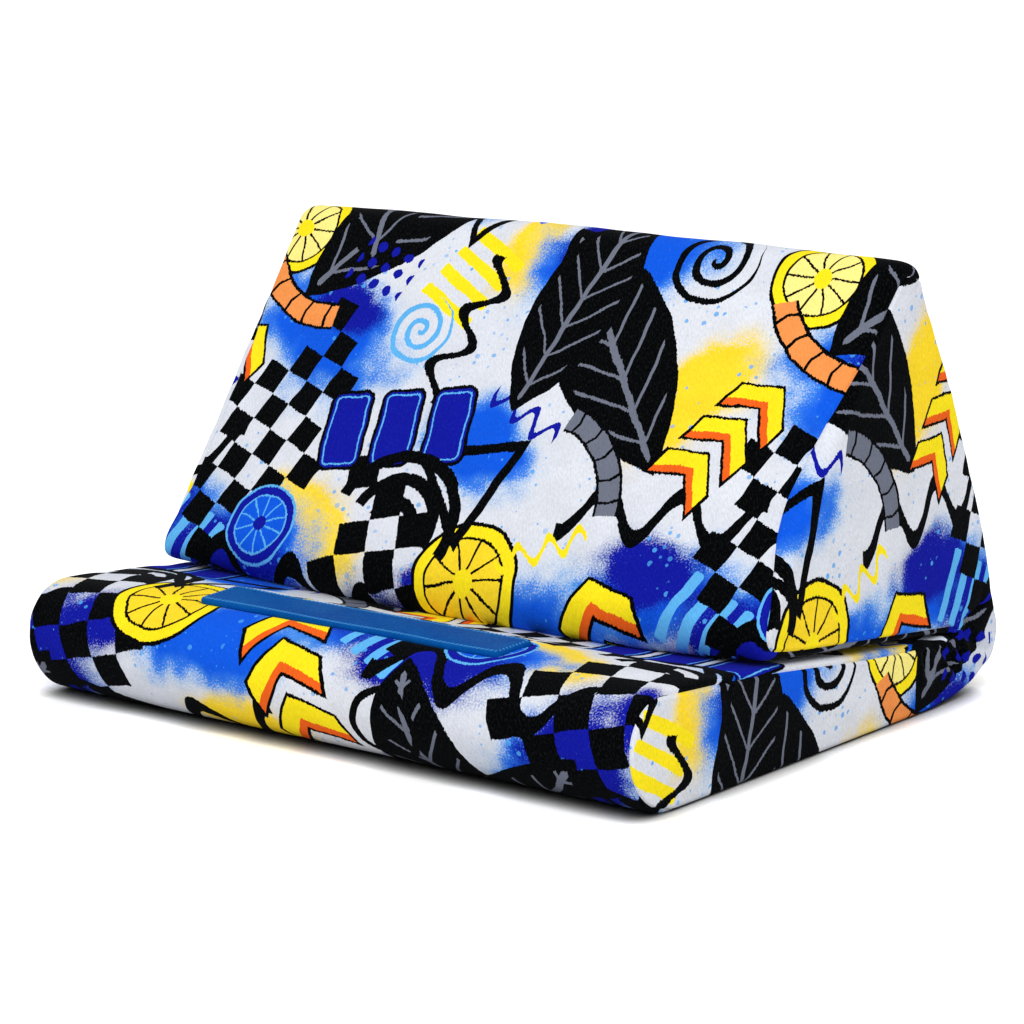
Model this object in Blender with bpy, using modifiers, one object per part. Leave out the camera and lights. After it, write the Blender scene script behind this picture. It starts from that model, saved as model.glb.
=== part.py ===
"""Tablet cushion stand: a foam wedge on a foam base pad, in one sewn plush cover.

Metres, +Z up, front towards -Y, origin at the bottom centre. Each sewn panel is a shell of its own,
cut from the same outlines as the two foam cores, so the cover always fits what it holds.
"""
from collections import namedtuple
from math import atan2, ceil, cos, degrees, hypot, pi, radians, sin, tan

import bmesh
import bpy
from mathutils import Matrix, Vector

# Whole stand
HALF_WIDTH = 0.1695         # end seams, at the corners
BASE_DEPTH = 0.296          # nose of the pad to its rear
WEDGE_HEIGHT = 0.2085       # ridge at the end seams

# Base pad
NOSE_HEIGHT = 0.050         # top of the pad where the nose ends
NOSE_MIDDLE = 0.031         # height of the nose's foremost line
NOSE_UNDER = 0.030          # how far the nose curls back below
NOSE_OVER = 0.022           # how far the nose curls back above
REAR_MIDDLE = 0.027         # height of the pad's rearmost line
REAR_UNDER = 0.038          # how far the rear curls in below
KNEE_RADIUS = 0.020         # bend from the pad's rear into the wedge's back

# Wedge
FACE_ANGLE = 54.6           # front face above the horizontal, degrees
BACK_ANGLE = 63.3           # back face above the horizontal, degrees
RIDGE_RADIUS = 0.008
TOE_RADIUS = 0.008          # lower front edge

# Slot between the wedge and the pad
SLOT_INSET = 0.034          # inner end of the slot, in from the rear
SLOT_HEIGHT = 0.030         # pad top at the inner end
SLOT_GAP_REAR = 0.004       # between the end seams, at the inner end
SLOT_GAP_FRONT = 0.008      # between the end seams, at the toe
SLOT_CLOSURE = 0.008        # length over which the slot's inner end closes
JOINT_HEIGHT = 0.045        # where the wedge and the pad part on the back
CONTACT = 0.0008            # left between the two bodies where they lean on each other

# How far the panels swell in the middle of the width, and how fast they fall to the end seams
NOSE_CROWN = 0.0005
TOP_CROWN = 0.0045
CROWN_RISE = 0.028          # length behind the nose over which the top's crown comes up
RIDGE_CROWN = 0.0025
FACE_SWELL = 0.0010
BACK_SWELL = 0.0040
REAR_SWELL = 0.0010
CROWN_POWER = 6
SEAM_PULL = 0.005           # how far the end seams draw in between the corners
END_SWELL = 0.0005          # end panels' flat middle, out from the corners
END_POWER = 4

# Cloth and clearances
CLOTH = 0.0016              # plush with its pile
SEAM_GAP = 0.0004           # between pieces that touch
END_CLEAR = CLOTH + 0.0008  # the long panels stop this far inside the end panels' faces
CORE_CLEAR = 0.0012         # the foam stops this far inside the long panels' ends
FOAM_GAP = 0.0006           # between the foam and the cloth

# Leatherette strip on the pad's crown
STRIP_LENGTH = 0.170
STRIP_WIDTH = 0.0255
STRIP_HEIGHT = 0.0030
STRIP_SETBACK = 0.0365      # its middle line, back from the nose
STRIP_CORNER = 0.0020
STRIP_SKIN = 0.0010
STRIP_EDGE = 0.0007         # roll of its upper edge

# Mesh spacing
STEP = 0.021
ARC_STEP = 23               # degrees for each facet of a bend
ACROSS = (0, 0.35, 0.62, 0.8, 0.92, 1)          # half-width stations, closer towards the seams
RINGS = (1, 0.92, 0.75, 0.4)                    # end panels, from the seam to the middle
WEDGE_SPINE = 0.2           # length of the line that the rings close on, for each outline's length
BASE_SPINE = 0.9

Station = namedtuple("Station", "y z ny nz crown edge")


def clear_scene():
    for old in list(bpy.data.objects):
        bpy.data.objects.remove(old)


def material(name, hex_colour, roughness, metallic=0.0):
    """A Principled material from an sRGB hex colour."""
    mat = bpy.data.materials.new(name)
    mat.use_nodes = True
    shader = mat.node_tree.nodes["Principled BSDF"]
    channels = [int(hex_colour[i:i + 2], 16) / 255 for i in (0, 2, 4)]
    linear = [c / 12.92 if c <= 0.04045 else ((c + 0.055) / 1.055) ** 2.4 for c in channels]
    shader.inputs["Base Color"].default_value = (*linear, 1)
    shader.inputs["Roughness"].default_value = roughness
    shader.inputs["Metallic"].default_value = metallic
    return mat


# Outlines: lists of (y, z) points, running clockwise as seen from +X

def straight(start, end):
    """Points from start up to, but not at, end."""
    start, end = Vector(start), Vector(end)
    count = max(1, ceil((end - start).length / STEP))
    return [tuple(start.lerp(end, i / count)) for i in range(count)]


def bend(before, corner, after, radius):
    """Points of the arc that rounds a corner, both tangent points included."""
    corner = Vector(corner)
    to_before = (Vector(before) - corner).normalized()
    to_after = (Vector(after) - corner).normalized()
    half = to_before.angle(to_after) / 2
    centre = corner + (to_before + to_after).normalized() * radius / sin(half)
    first = corner + to_before * radius / tan(half) - centre
    turn = -(pi - 2 * half)
    count = max(2, ceil(abs(degrees(turn)) / ARC_STEP))
    points = []
    for i in range(count + 1):
        arm = first.copy()
        arm.rotate(Matrix.Rotation(turn * i / count, 2))
        points.append(tuple(centre + arm))
    return points


def quarter(centre, across, up, start):
    """Quarter of an ellipse, clockwise from the angle start, its end point left out."""
    count = ceil(90 / ARC_STEP)
    angles = [radians(start - 90 * i / count) for i in range(count)]
    return [(centre[0] + across * cos(a), centre[1] + up * sin(a)) for a in angles]


def line_height(start, end, y):
    return start[1] + (end[1] - start[1]) * (y - start[0]) / (end[0] - start[0])


NOSE_Y = -BASE_DEPTH / 2
REAR_Y = BASE_DEPTH / 2
FACE_RISE = tan(radians(FACE_ANGLE))
BACK_RISE = tan(radians(BACK_ANGLE))

KNEE = (REAR_Y, REAR_MIDDLE + KNEE_RADIUS * tan(radians(90 - BACK_ANGLE) / 2))
RIDGE_HALF = radians(180 - FACE_ANGLE - BACK_ANGLE) / 2
RIDGE_LEAN = radians(FACE_ANGLE - BACK_ANGLE) / 2
RIDGE_Z = WEDGE_HEIGHT + RIDGE_RADIUS * (cos(RIDGE_LEAN) / sin(RIDGE_HALF) - 1)
RIDGE = (REAR_Y - (RIDGE_Z - KNEE[1]) / BACK_RISE, RIDGE_Z)
JOINT = (REAR_Y - (JOINT_HEIGHT - KNEE[1]) / BACK_RISE, JOINT_HEIGHT)
JOINT_ABOVE = (JOINT[0] - SEAM_GAP / BACK_RISE, JOINT[1] + SEAM_GAP)

TOP_FRONT = (NOSE_Y + NOSE_OVER, NOSE_HEIGHT)
SLOT_END = (REAR_Y - SLOT_INSET, SLOT_HEIGHT)
SLOT_END_ABOVE = (SLOT_END[0], SLOT_END[1] + SLOT_GAP_REAR)
TO_JOINT = (Vector(JOINT) - Vector(SLOT_END)).normalized()
CLOSED = tuple(Vector(SLOT_END) + TO_JOINT * SLOT_CLOSURE)
CLOSED_ABOVE = (CLOSED[0], CLOSED[1] + SEAM_GAP)


def toe():
    """Where the front face meets the underside, which stands SLOT_GAP_FRONT off the pad there."""
    pad_fall = (SLOT_END[1] - TOP_FRONT[1]) / (SLOT_END[0] - TOP_FRONT[0])
    lift = NOSE_HEIGHT - pad_fall * TOP_FRONT[0] + SLOT_GAP_FRONT
    y = (RIDGE[1] - FACE_RISE * RIDGE[0] - lift) / (pad_fall - FACE_RISE)
    return y, lift + pad_fall * y


TOE = toe()


def slot_crown(y):
    """Half of what is open between the end seams, so that the two bodies meet in the middle."""
    above = line_height(TOE, SLOT_END_ABOVE, y)
    below = line_height(TOP_FRONT, SLOT_END, y)
    return (above - below - CONTACT) / 2


def top_crown(y):
    """The pad's crown comes up behind the nose, and goes down again as it runs under the wedge."""
    crest = TOP_FRONT[0] + CROWN_RISE
    if y >= TOE[0]:
        return slot_crown(y)
    if y <= crest:
        return line_height((TOP_FRONT[0], NOSE_CROWN), (crest, TOP_CROWN), y)
    return line_height((crest, TOP_CROWN), (TOE[0], slot_crown(TOE[0])), y)


def stations(points, crown, pulls=True):
    """Points of one side of an outline, with the crown and the end seam's place at each."""
    lengths = [0]
    for a, b in zip(points, points[1:]):
        lengths.append(lengths[-1] + hypot(b[0] - a[0], b[1] - a[1]))
    side = []
    for (y, z), run in zip(points, lengths):
        t = run / lengths[-1]
        pull = SEAM_PULL * sin(pi * t) if pulls else 0
        side.append(Station(y, z, 0, 0, crown(t, y), HALF_WIDTH - pull))
    return side


def joined(*sides):
    """Sides end to end. Where one starts at the last one's end, that point is kept once."""
    path = list(sides[0])
    for side in sides[1:]:
        path += side[1:]
    return path


def with_normals(path, closed=False):
    """Outward normals, lengthened at bends so that an inset keeps its thickness."""
    result = []
    for i, here in enumerate(path):
        before = path[i - 1] if i or closed else None
        after = path[(i + 1) % len(path)] if i + 1 < len(path) or closed else None
        runs = [Vector((b.y - a.y, b.z - a.z)).normalized()
                for a, b in ((before, here), (here, after)) if a and b]
        along = sum(runs, Vector((0, 0))).normalized()
        reach = 1 / along.dot(runs[0])
        result.append(here._replace(ny=-along.y * reach, nz=along.x * reach))
    return result


def blend(a, b, t):
    return Station(*(p + (q - p) * t for p, q in zip(a, b)))


def trimmed(path, head, tail):
    """The path with its first and last stations moved in along it."""
    path = list(path)
    for end, inner, cut in ((0, 1, head), (-1, -2, tail)):
        run = hypot(path[inner].y - path[end].y, path[inner].z - path[end].z)
        path[end] = blend(path[end], path[inner], cut / run)
    return path


def wedge_sides():
    toe_arc = bend(SLOT_END_ABOVE, TOE, RIDGE, TOE_RADIUS)
    ridge_arc = bend(TOE, RIDGE, KNEE, RIDGE_RADIUS)
    under = stations(straight(SLOT_END_ABOVE, toe_arc[0]) + toe_arc[:1], lambda t, y: slot_crown(y))
    toe_crown = under[-1].crown
    front = stations(
        toe_arc[:-1] + straight(toe_arc[-1], ridge_arc[0]) + ridge_arc,
        lambda t, y: toe_crown + (RIDGE_CROWN - toe_crown) * t + FACE_SWELL * 4 * t * (1 - t))
    back = stations(
        straight(ridge_arc[-1], JOINT_ABOVE) + [JOINT_ABOVE],
        lambda t, y: RIDGE_CROWN * (1 - t) + BACK_SWELL * 4 * t * (1 - t))
    return under, front, back, closure(JOINT_ABOVE, CLOSED_ABOVE, SLOT_END_ABOVE)


def base_sides():
    rear_centre = (REAR_Y - REAR_UNDER, REAR_MIDDLE)
    under_front = (NOSE_Y + NOSE_UNDER, 0)
    under_rear = (rear_centre[0], 0)
    knee = bend(JOINT, KNEE, (REAR_Y, 0), KNEE_RADIUS)
    rear = stations(
        [JOINT] + knee[:-1] + quarter(rear_centre, REAR_UNDER, REAR_MIDDLE, 0) + [under_rear],
        lambda t, y: REAR_SWELL * 4 * t * (1 - t))
    under = stations(straight(under_rear, under_front) + [under_front], lambda t, y: 0)
    nose = stations(
        quarter((under_front[0], NOSE_MIDDLE), NOSE_UNDER, NOSE_MIDDLE, -90)
        + quarter((TOP_FRONT[0], NOSE_MIDDLE), NOSE_OVER, NOSE_HEIGHT - NOSE_MIDDLE, 180)
        + [TOP_FRONT],
        lambda t, y: NOSE_CROWN * t)
    top = stations(straight(TOP_FRONT, SLOT_END) + [SLOT_END], lambda t, y: top_crown(y))
    return rear, under, nose, top, closure(SLOT_END, CLOSED, JOINT)


def closure(*corners):
    """The slot's inner end, where the two bodies draw together and stay flat up to the back."""
    points = []
    for a, b in zip(corners, corners[1:]):
        points += straight(a, b)
    opening = slot_crown(SLOT_END[0])
    reach = CLOSED[0] - SLOT_END[0]
    return stations(
        points + [corners[-1]],
        lambda t, y: opening * min(1, max(0, (CLOSED[0] - y) / reach)), pulls=False)


# Surfaces

def skin(station, x, inset=0.0):
    """A point on the stuffed cover, or below it by the inset, at the distance x from the middle."""
    fall = 1 - abs(x / station.edge) ** CROWN_POWER
    out = station.crown * fall - inset
    return Vector((x, station.y + station.ny * out, station.z + station.nz * out))


def across(edge):
    half = [edge * a for a in ACROSS]
    return [-x for x in reversed(half[1:])] + half


def loft(rows, closed=False):
    """A mesh of quads between rows of points, each row a ring where closed is true."""
    mesh = bmesh.new()
    grid = [[mesh.verts.new(p) for p in row] for row in rows]
    for row, following in zip(grid, grid[1:]):
        last = len(row) if closed else len(row) - 1
        for i in range(last):
            k = (i + 1) % len(row)
            mesh.faces.new((row[i], row[k], following[k], following[i]))
    return mesh, grid


def finish(mesh, name, mat, collection, thickness=0.0):
    data = bpy.data.meshes.new(name)
    mesh.to_mesh(data)
    mesh.free()
    data.shade_smooth()
    data.set_sharp_from_angle(angle=radians(40))
    piece = bpy.data.objects.new(name, data)
    piece.data.materials.append(mat)
    collection.objects.link(piece)
    if thickness:
        wall = piece.modifiers.new("Cloth", "SOLIDIFY")
        wall.thickness = thickness
        wall.offset = -1
    return piece


def wrap_panel(name, path, mat, collection):
    """A panel that runs from end seam to end seam."""
    rows = [[skin(s, x) for x in across(s.edge - END_CLEAR)] for s in path]
    mesh, _ = loft(rows)
    return finish(mesh, name, mat, collection, CLOTH)


def end_ring(outline, spine, share, side, depth):
    """A ring of an end panel. It shrinks towards a level line in the middle of the outline, whose
    length is the share called spine of the outline's, and swells as it goes in from the seam."""
    ys = [s.y for s in outline]
    middle = (min(ys) + max(ys)) / 2
    hub_z = sum(s.z for s in outline) / len(outline)
    flat = HALF_WIDTH + END_SWELL
    ring = []
    for s in outline:
        hub_y = middle + (s.y - middle) * spine
        x = flat - (flat - s.edge) * share ** END_POWER - depth
        ring.append((side * x, hub_y + (s.y - hub_y) * share, hub_z + (s.z - hub_z) * share))
    return ring


def end_panel(name, outline, spine, side, mat, collection):
    rows = [end_ring(outline, spine, share, side, 0) for share in RINGS]
    mesh, grid = loft(rows, closed=True)
    mesh.faces.new(grid[-1])
    if side > 0:
        bmesh.ops.reverse_faces(mesh, faces=mesh.faces)
    return finish(mesh, name, mat, collection, CLOTH)


def foam_core(name, outline, spine, mat, collection):
    """The foam block: the cover's shape, smaller by the cloth and a little air all round."""
    inset = CLOTH + FOAM_GAP
    edge_inset = END_CLEAR + CORE_CLEAR
    slim = [s._replace(y=s.y - s.ny * inset, z=s.z - s.nz * inset) for s in outline]
    caps = [[end_ring(slim, spine, share, side, edge_inset) for share in RINGS]
            for side in (-1, 1)]
    body = [[skin(s, sign * a * (s.edge - edge_inset), inset) for s in outline]
            for sign, a in [(-1, a) for a in reversed(ACROSS[1:])] + [(1, a) for a in ACROSS]]
    rows = list(reversed(caps[0])) + body[1:-1] + caps[1]
    mesh, grid = loft(rows, closed=True)
    mesh.faces.new(grid[0])
    mesh.faces.new(grid[-1])
    bmesh.ops.recalc_face_normals(mesh, faces=mesh.faces)
    return finish(mesh, name, mat, collection)


# Leatherette strip

def pad_top(y, path):
    """Height of the pad's cover in the middle of the width."""
    line = [skin(s, 0) for s in path if s.z > NOSE_MIDDLE]
    for a, b in zip(line, line[1:]):
        if a.y <= y <= b.y:
            return a.z + (b.z - a.z) * (y - a.y) / (b.y - a.y)
    raise ValueError("the strip reaches past the pad's top")


def strip_seat(path):
    """Middle and tilt of the strip's underside, which lies on the pad's crown."""
    middle = NOSE_Y + STRIP_SETBACK
    front, rear = middle - STRIP_WIDTH / 2, middle + STRIP_WIDTH / 2
    z_front, z_rear = pad_top(front, path), pad_top(rear, path)
    samples = [front + STRIP_WIDTH * i / 12 for i in range(13)]
    proud = max(pad_top(y, path) - line_height((front, z_front), (rear, z_rear), y) for y in samples)
    return (0, middle, (z_front + z_rear) / 2 + proud + SEAM_GAP), atan2(z_rear - z_front, STRIP_WIDTH)


def strip_block(name, length, width, height, corner, edge, is_open, mat, collection):
    """A flat block with its underside at z = 0 and rounded corners. The cover is open below."""
    mesh = bmesh.new()
    place = Matrix.Translation((0, 0, height / 2)) @ Matrix.Diagonal((length, width, height, 1))
    bmesh.ops.create_cube(mesh, size=1, matrix=place)
    posts = [e for e in mesh.edges if abs(e.verts[0].co.z - e.verts[1].co.z) > height / 2]
    bmesh.ops.bevel(mesh, geom=posts, offset=corner, segments=3, profile=0.5, affect="EDGES")
    rim = [e for e in mesh.edges if all(v.co.z > height / 2 for v in e.verts)]
    bmesh.ops.bevel(mesh, geom=rim, offset=edge, segments=2, profile=0.5, affect="EDGES")
    if is_open:
        floor = [f for f in mesh.faces if f.normal.z < -0.9]
        bmesh.ops.delete(mesh, geom=floor, context="FACES_ONLY")
    return finish(mesh, name, mat, collection, STRIP_SKIN if is_open else 0)


def make_strip(path, leatherette, stiffener, collection):
    place, tilt = strip_seat(path)
    cover = strip_block("strip_cover", STRIP_LENGTH, STRIP_WIDTH, STRIP_HEIGHT, STRIP_CORNER,
                        STRIP_EDGE, True, leatherette, collection)
    margin = STRIP_SKIN + SEAM_GAP
    padding = strip_block("strip_padding", STRIP_LENGTH - 2 * margin, STRIP_WIDTH - 2 * margin,
                          STRIP_HEIGHT - margin, STRIP_CORNER, STRIP_EDGE / 2, False, stiffener,
                          collection)
    for piece in (cover, padding):
        piece.location = place
        piece.rotation_euler = (tilt, 0, 0)


def main():
    clear_scene()
    collection = bpy.data.collections.new("tablet_cushion_stand")
    bpy.context.scene.collection.children.link(collection)
    plush = material("printed_plush", "E2E4EA", 0.9)
    foam = material("cut_foam", "E9E2C8", 0.95)
    leatherette = material("blue_leatherette", "1F5A96", 0.45)
    stiffener = material("stiffener_board", "3A3D42", 0.8)

    under, front, back, wedge_close = wedge_sides()
    rear, floor, nose, top, base_close = base_sides()
    wedge = with_normals(joined(under, front, back, wedge_close)[:-1], closed=True)
    base = with_normals(joined(rear, floor, nose, top, base_close)[:-1], closed=True)

    seam = SEAM_GAP / 2
    inside_back = CLOTH + SEAM_GAP
    front_path = trimmed(with_normals(joined(wedge_close, under, front)), inside_back, seam)
    back_path = trimmed(with_normals(joined(back, rear)), seam, seam)
    top_path = trimmed(with_normals(joined(nose, top, base_close)), seam, inside_back)
    floor_path = trimmed(with_normals(floor), seam, seam)
    wrap_panel("wedge_front_panel", front_path, plush, collection)
    wrap_panel("back_panel", back_path, plush, collection)
    wrap_panel("base_top_panel", top_path, plush, collection)
    wrap_panel("underside_panel", floor_path, plush, collection)
    for side, hand in ((-1, "left"), (1, "right")):
        end_panel("wedge_end_" + hand, wedge, WEDGE_SPINE, side, plush, collection)
        end_panel("base_end_" + hand, base, BASE_SPINE, side, plush, collection)
    foam_core("wedge_foam_core", wedge, WEDGE_SPINE, foam, collection)
    foam_core("base_foam_core", base, BASE_SPINE, foam, collection)
    make_strip(top_path, leatherette, stiffener, collection)


main()
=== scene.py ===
"""Looks of the tablet cushion stand: its printed plush cover and its leatherette strip.

Metres, +Z up, front towards -Y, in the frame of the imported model.
"""
from math import atan2, ceil, cos, hypot, pi, radians, sin, sqrt, tan

import bmesh
import bpy
import numpy as np
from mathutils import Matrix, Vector, geometry, noise as smooth_noise


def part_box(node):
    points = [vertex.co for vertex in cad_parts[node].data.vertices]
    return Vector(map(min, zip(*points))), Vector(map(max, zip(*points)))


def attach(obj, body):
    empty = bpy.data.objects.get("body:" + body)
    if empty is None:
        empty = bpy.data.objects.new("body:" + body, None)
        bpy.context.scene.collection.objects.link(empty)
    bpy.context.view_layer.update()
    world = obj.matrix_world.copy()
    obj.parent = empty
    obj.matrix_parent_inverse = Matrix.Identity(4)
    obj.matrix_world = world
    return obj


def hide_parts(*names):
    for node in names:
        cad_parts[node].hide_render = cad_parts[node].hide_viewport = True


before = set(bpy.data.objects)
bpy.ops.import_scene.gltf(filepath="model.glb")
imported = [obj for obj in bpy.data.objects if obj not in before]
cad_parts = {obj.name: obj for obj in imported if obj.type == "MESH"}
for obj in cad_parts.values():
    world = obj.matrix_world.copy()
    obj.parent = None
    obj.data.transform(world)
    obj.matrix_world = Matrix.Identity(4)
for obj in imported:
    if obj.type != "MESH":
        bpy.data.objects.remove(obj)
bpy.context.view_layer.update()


# Sewn cover
# The real cover is short-pile polyester plush, printed before it was cut, and sewn inside out round
# two foam blocks. Its outline runs from the slot under the wedge, over the ridge and round the pad.

pad_low, pad_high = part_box("base_end_right")
wedge_low, wedge_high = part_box("wedge_end_right")

NOSE_Y = pad_low.y
REAR_Y = pad_high.y
EDGE_X = pad_high.x + 0.0005        # flat of the end faces
RIDGE_HEIGHT = wedge_high.z - 0.0006    # the crown makes it up
PAD_TOP = pad_high.z + 0.0025       # the end seams lie below the pad's rounded edge

NOSE_MIDDLE = 0.031                 # height of the nose's foremost line
NOSE_UNDER = 0.030                  # how far the nose curls back below
NOSE_OVER = 0.024                   # how far the nose curls back above
REAR_MIDDLE = 0.027
REAR_UNDER = 0.055
KNEE_RADIUS = 0.020
FACE_ANGLE = 54.6
BACK_ANGLE = 63.3
RIDGE_RADIUS = 0.0137
BACK_SHIFT = 0.0065                 # of the back's upper line
BACK_BULGE = 0.0055                 # of the back between the ridge and the joint, at the ends too
BULGE_POWER = 1.4                   # over 1 puts the bulge lower
TOE_RADIUS = 0.010
SLOT_END = (REAR_Y - 0.0405, 0.0318)    # pad's top at the slot's inner end
SLOT_GAP = 0.0010                   # between the two bodies' rounded edges, at the inner end
TOE_GAP = 0.0034
TOP_WAVE = 0.0012                   # the pad's top rises in front and dips under the wedge
JOINT_HEIGHT = 0.045                # where the wedge and the pad part on the back
STEP = 0.005                        # mesh spacing along the outline
ARC_STEP = 0.003


def straight(start, end):
    """Points from start up to, but not at, end."""
    count = max(1, round(hypot(end[0] - start[0], end[1] - start[1]) / STEP))
    return [(start[0] + (end[0] - start[0]) * i / count, start[1] + (end[1] - start[1]) * i / count)
            for i in range(count)]


def fillet(before, corner, after, radius):
    """Points of the arc that rounds a corner, both tangent points included."""
    corner = Vector(corner)
    to_before = (Vector(before) - corner).normalized()
    to_after = (Vector(after) - corner).normalized()
    half = to_before.angle(to_after) / 2
    centre = corner + (to_before + to_after).normalized() * radius / sin(half)
    arm = corner + to_before * radius / tan(half) - centre
    turn = pi - 2 * half
    count = max(3, ceil(turn * radius / ARC_STEP))
    angles = [turn * i / count for i in range(count + 1)]
    return [(centre.x + arm.x * cos(a) + arm.y * sin(a), centre.y - arm.x * sin(a) + arm.y * cos(a))
            for a in angles]


def quarter(centre, across, up, start):
    """Quarter of an ellipse, clockwise from the angle start, its end point left out."""
    count = ceil((across + up) / 2 * pi / 2 / ARC_STEP / 1.2)
    angles = [radians(start - 90 * i / count) for i in range(count)]
    return [(centre[0] + across * cos(a), centre[1] + up * sin(a)) for a in angles]


face_rise, back_rise = tan(radians(FACE_ANGLE)), tan(radians(BACK_ANGLE))
knee = (REAR_Y, REAR_MIDDLE + KNEE_RADIUS * tan(radians(90 - BACK_ANGLE) / 2))
ridge_half = radians(180 - FACE_ANGLE - BACK_ANGLE) / 2
ridge_lean = radians(FACE_ANGLE - BACK_ANGLE) / 2
ridge_z = RIDGE_HEIGHT + RIDGE_RADIUS * (cos(ridge_lean) / sin(ridge_half) - 1)
ridge = (REAR_Y + BACK_SHIFT - (ridge_z - knee[1]) / back_rise, ridge_z)
joint = (REAR_Y - (JOINT_HEIGHT - knee[1]) / back_rise, JOINT_HEIGHT)
top_front = (NOSE_Y + NOSE_OVER, PAD_TOP)
pad_fall = (SLOT_END[1] - PAD_TOP) / (SLOT_END[0] - top_front[0])
under_rear_end = (SLOT_END[0], SLOT_END[1] + SLOT_GAP)
toe_y = -0.060
for _ in range(20):                 # the face's line meets the underside's, which depends on the toe
    toe_z = ridge_z - face_rise * (ridge[0] - toe_y)
    toe_y += (PAD_TOP + pad_fall * (toe_y - top_front[0]) + TOE_GAP - toe_z) / face_rise / 2
toe = (toe_y, ridge_z - face_rise * (ridge[0] - toe_y))

toe_arc = fillet(under_rear_end, toe, ridge, TOE_RADIUS)
ridge_arc = fillet(toe, ridge, (knee[0] + BACK_SHIFT, knee[1]), RIDGE_RADIUS)
knee_arc = fillet(joint, knee, (REAR_Y, 0), KNEE_RADIUS)
under_front = (NOSE_Y + NOSE_UNDER, 0)
under_rear = (REAR_Y - REAR_UNDER, 0)
underside = straight(under_rear_end, toe_arc[0])
face = toe_arc[:-1] + straight(toe_arc[-1], ridge_arc[0]) + ridge_arc[:-1]
back = straight(ridge_arc[-1], joint)
rear = straight(joint, knee_arc[0]) + knee_arc[:-1]
rear += quarter((under_rear[0], REAR_MIDDLE), REAR_UNDER, REAR_MIDDLE, 0)
floor = straight(under_rear, under_front)
nose = quarter((under_front[0], NOSE_MIDDLE), NOSE_UNDER, NOSE_MIDDLE, -90)
nose += quarter((top_front[0], NOSE_MIDDLE), NOSE_OVER, PAD_TOP - NOSE_MIDDLE, 180)
pad_top = straight(top_front, SLOT_END) + [SLOT_END]

SEAM_STEPS = [0.0011, 0.0026]       # extra points on each side of a seam
SEAM_ROOM = 0.8                     # share of the next step that they may take up


def crowded(points, after, at_start, at_end):
    """The stretch's points, with more of them next to the seams at its ends."""
    points = [Vector(p) for p in points]
    if at_start:
        step = points[1] - points[0]
        near = [d for d in SEAM_STEPS if d < step.length * SEAM_ROOM]
        points[1:1] = [points[0] + step.normalized() * d for d in near]
    if at_end:
        step = points[-1] - Vector(after)
        near = [d for d in SEAM_STEPS if d < step.length * SEAM_ROOM]
        points += [Vector(after) + step.normalized() * d for d in reversed(near)]
    return [tuple(p) for p in points]


face = crowded(face, back[0], False, True)
back = crowded(back, rear[0], True, False)
rear = crowded(rear, floor[0], False, True)
floor = crowded(floor, nose[0], True, True)
nose = crowded(nose, pad_top[0], True, False)

# Each stretch of the outline, its panel, the radius of its end edge, and how far round that edge
# its seam lies
stretches = [
    ("underside", underside, "front", 0.0040, 0.0050),
    ("face", face, "front", 0.0065, 0.0100),
    ("back", back, "back", 0.0045, 0.0012),
    ("rear", rear, "back", 0.0050, 0.0014),
    ("floor", floor, "floor", 0.0030, 0.0006),
    ("nose", nose, "top", 0.0035, 0.0030),
    ("pad_top", pad_top, "top", 0.0036, 0.0048),
]
outline = np.array([p for _, points, *_ in stretches for p in points])
stretch = np.array([name for name, points, *_ in stretches for _ in points])
panel = np.array([panel_name for _, points, panel_name, *_ in stretches for _ in points])
edge_radius = np.array([radius for _, points, _, radius, _ in stretches for _ in points])
seam_round = np.array([turn for _, points, _, _, turn in stretches for _ in points])
count = len(outline)
on_face, on_back, on_top = stretch == "face", stretch == "back", stretch == "pad_top"
share = (outline[on_top, 0] - top_front[0]) / (SLOT_END[0] - top_front[0])
outline[on_top, 1] += TOP_WAVE * np.sin(2 * pi * share)


def smoothed(values, rounds):
    """The closed outline's values, each drawn towards its neighbours' mean."""
    for _ in range(rounds):
        values = values / 2 + (np.roll(values, 1, 0) + np.roll(values, -1, 0)) / 4
    return values


EDGE_BLEND = 8                      # rounds that ease one stretch's edge into the next one's
edge_radius = smoothed(edge_radius, EDGE_BLEND)
seam_round = smoothed(seam_round, EDGE_BLEND)
back_top = outline[on_back][0, 1]
fallen = ((back_top - outline[on_back, 1]) / (back_top - JOINT_HEIGHT)) ** BULGE_POWER
bulged = BACK_BULGE * 4 * fallen * (1 - fallen)
outline[on_back] += bulged[:, None] * np.array([sin(radians(BACK_ANGLE)), cos(radians(BACK_ANGLE))])
steps = np.linalg.norm(np.roll(outline, -1, 0) - outline, axis=1)
run = np.concatenate([[0], np.cumsum(steps)[:-1]])

# The seam wanders in over the front face, most of all on its lower half
SEAM_DIP = 0.0165
DIP_AT = 0.070                      # up the face, from the sharp corner of the toe
DIP_BELOW = 0.038
DIP_ABOVE = 0.066
up_face = np.array([(p - np.array(toe)) @ np.array([cos(radians(FACE_ANGLE)), sin(radians(FACE_ANGLE))])
                    for p in outline])
reach = np.where(up_face < DIP_AT, DIP_BELOW, DIP_ABOVE)
dip = SEAM_DIP * np.exp(-((up_face - DIP_AT) / reach) ** 2) * on_face
seam_round = seam_round - smoothed(dip, 4)

along = np.roll(outline, -1, 0) - np.roll(outline, 1, 0)
along /= np.linalg.norm(along, axis=1)[:, None]
outward = np.stack([-along[:, 1], along[:, 0]], 1)
outward[0] = outward[-1] = (-1, 0)  # the slot's inner end opens to the front
outward = smoothed(outward, 1)
outward /= np.linalg.norm(outward, axis=1)[:, None]

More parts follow.
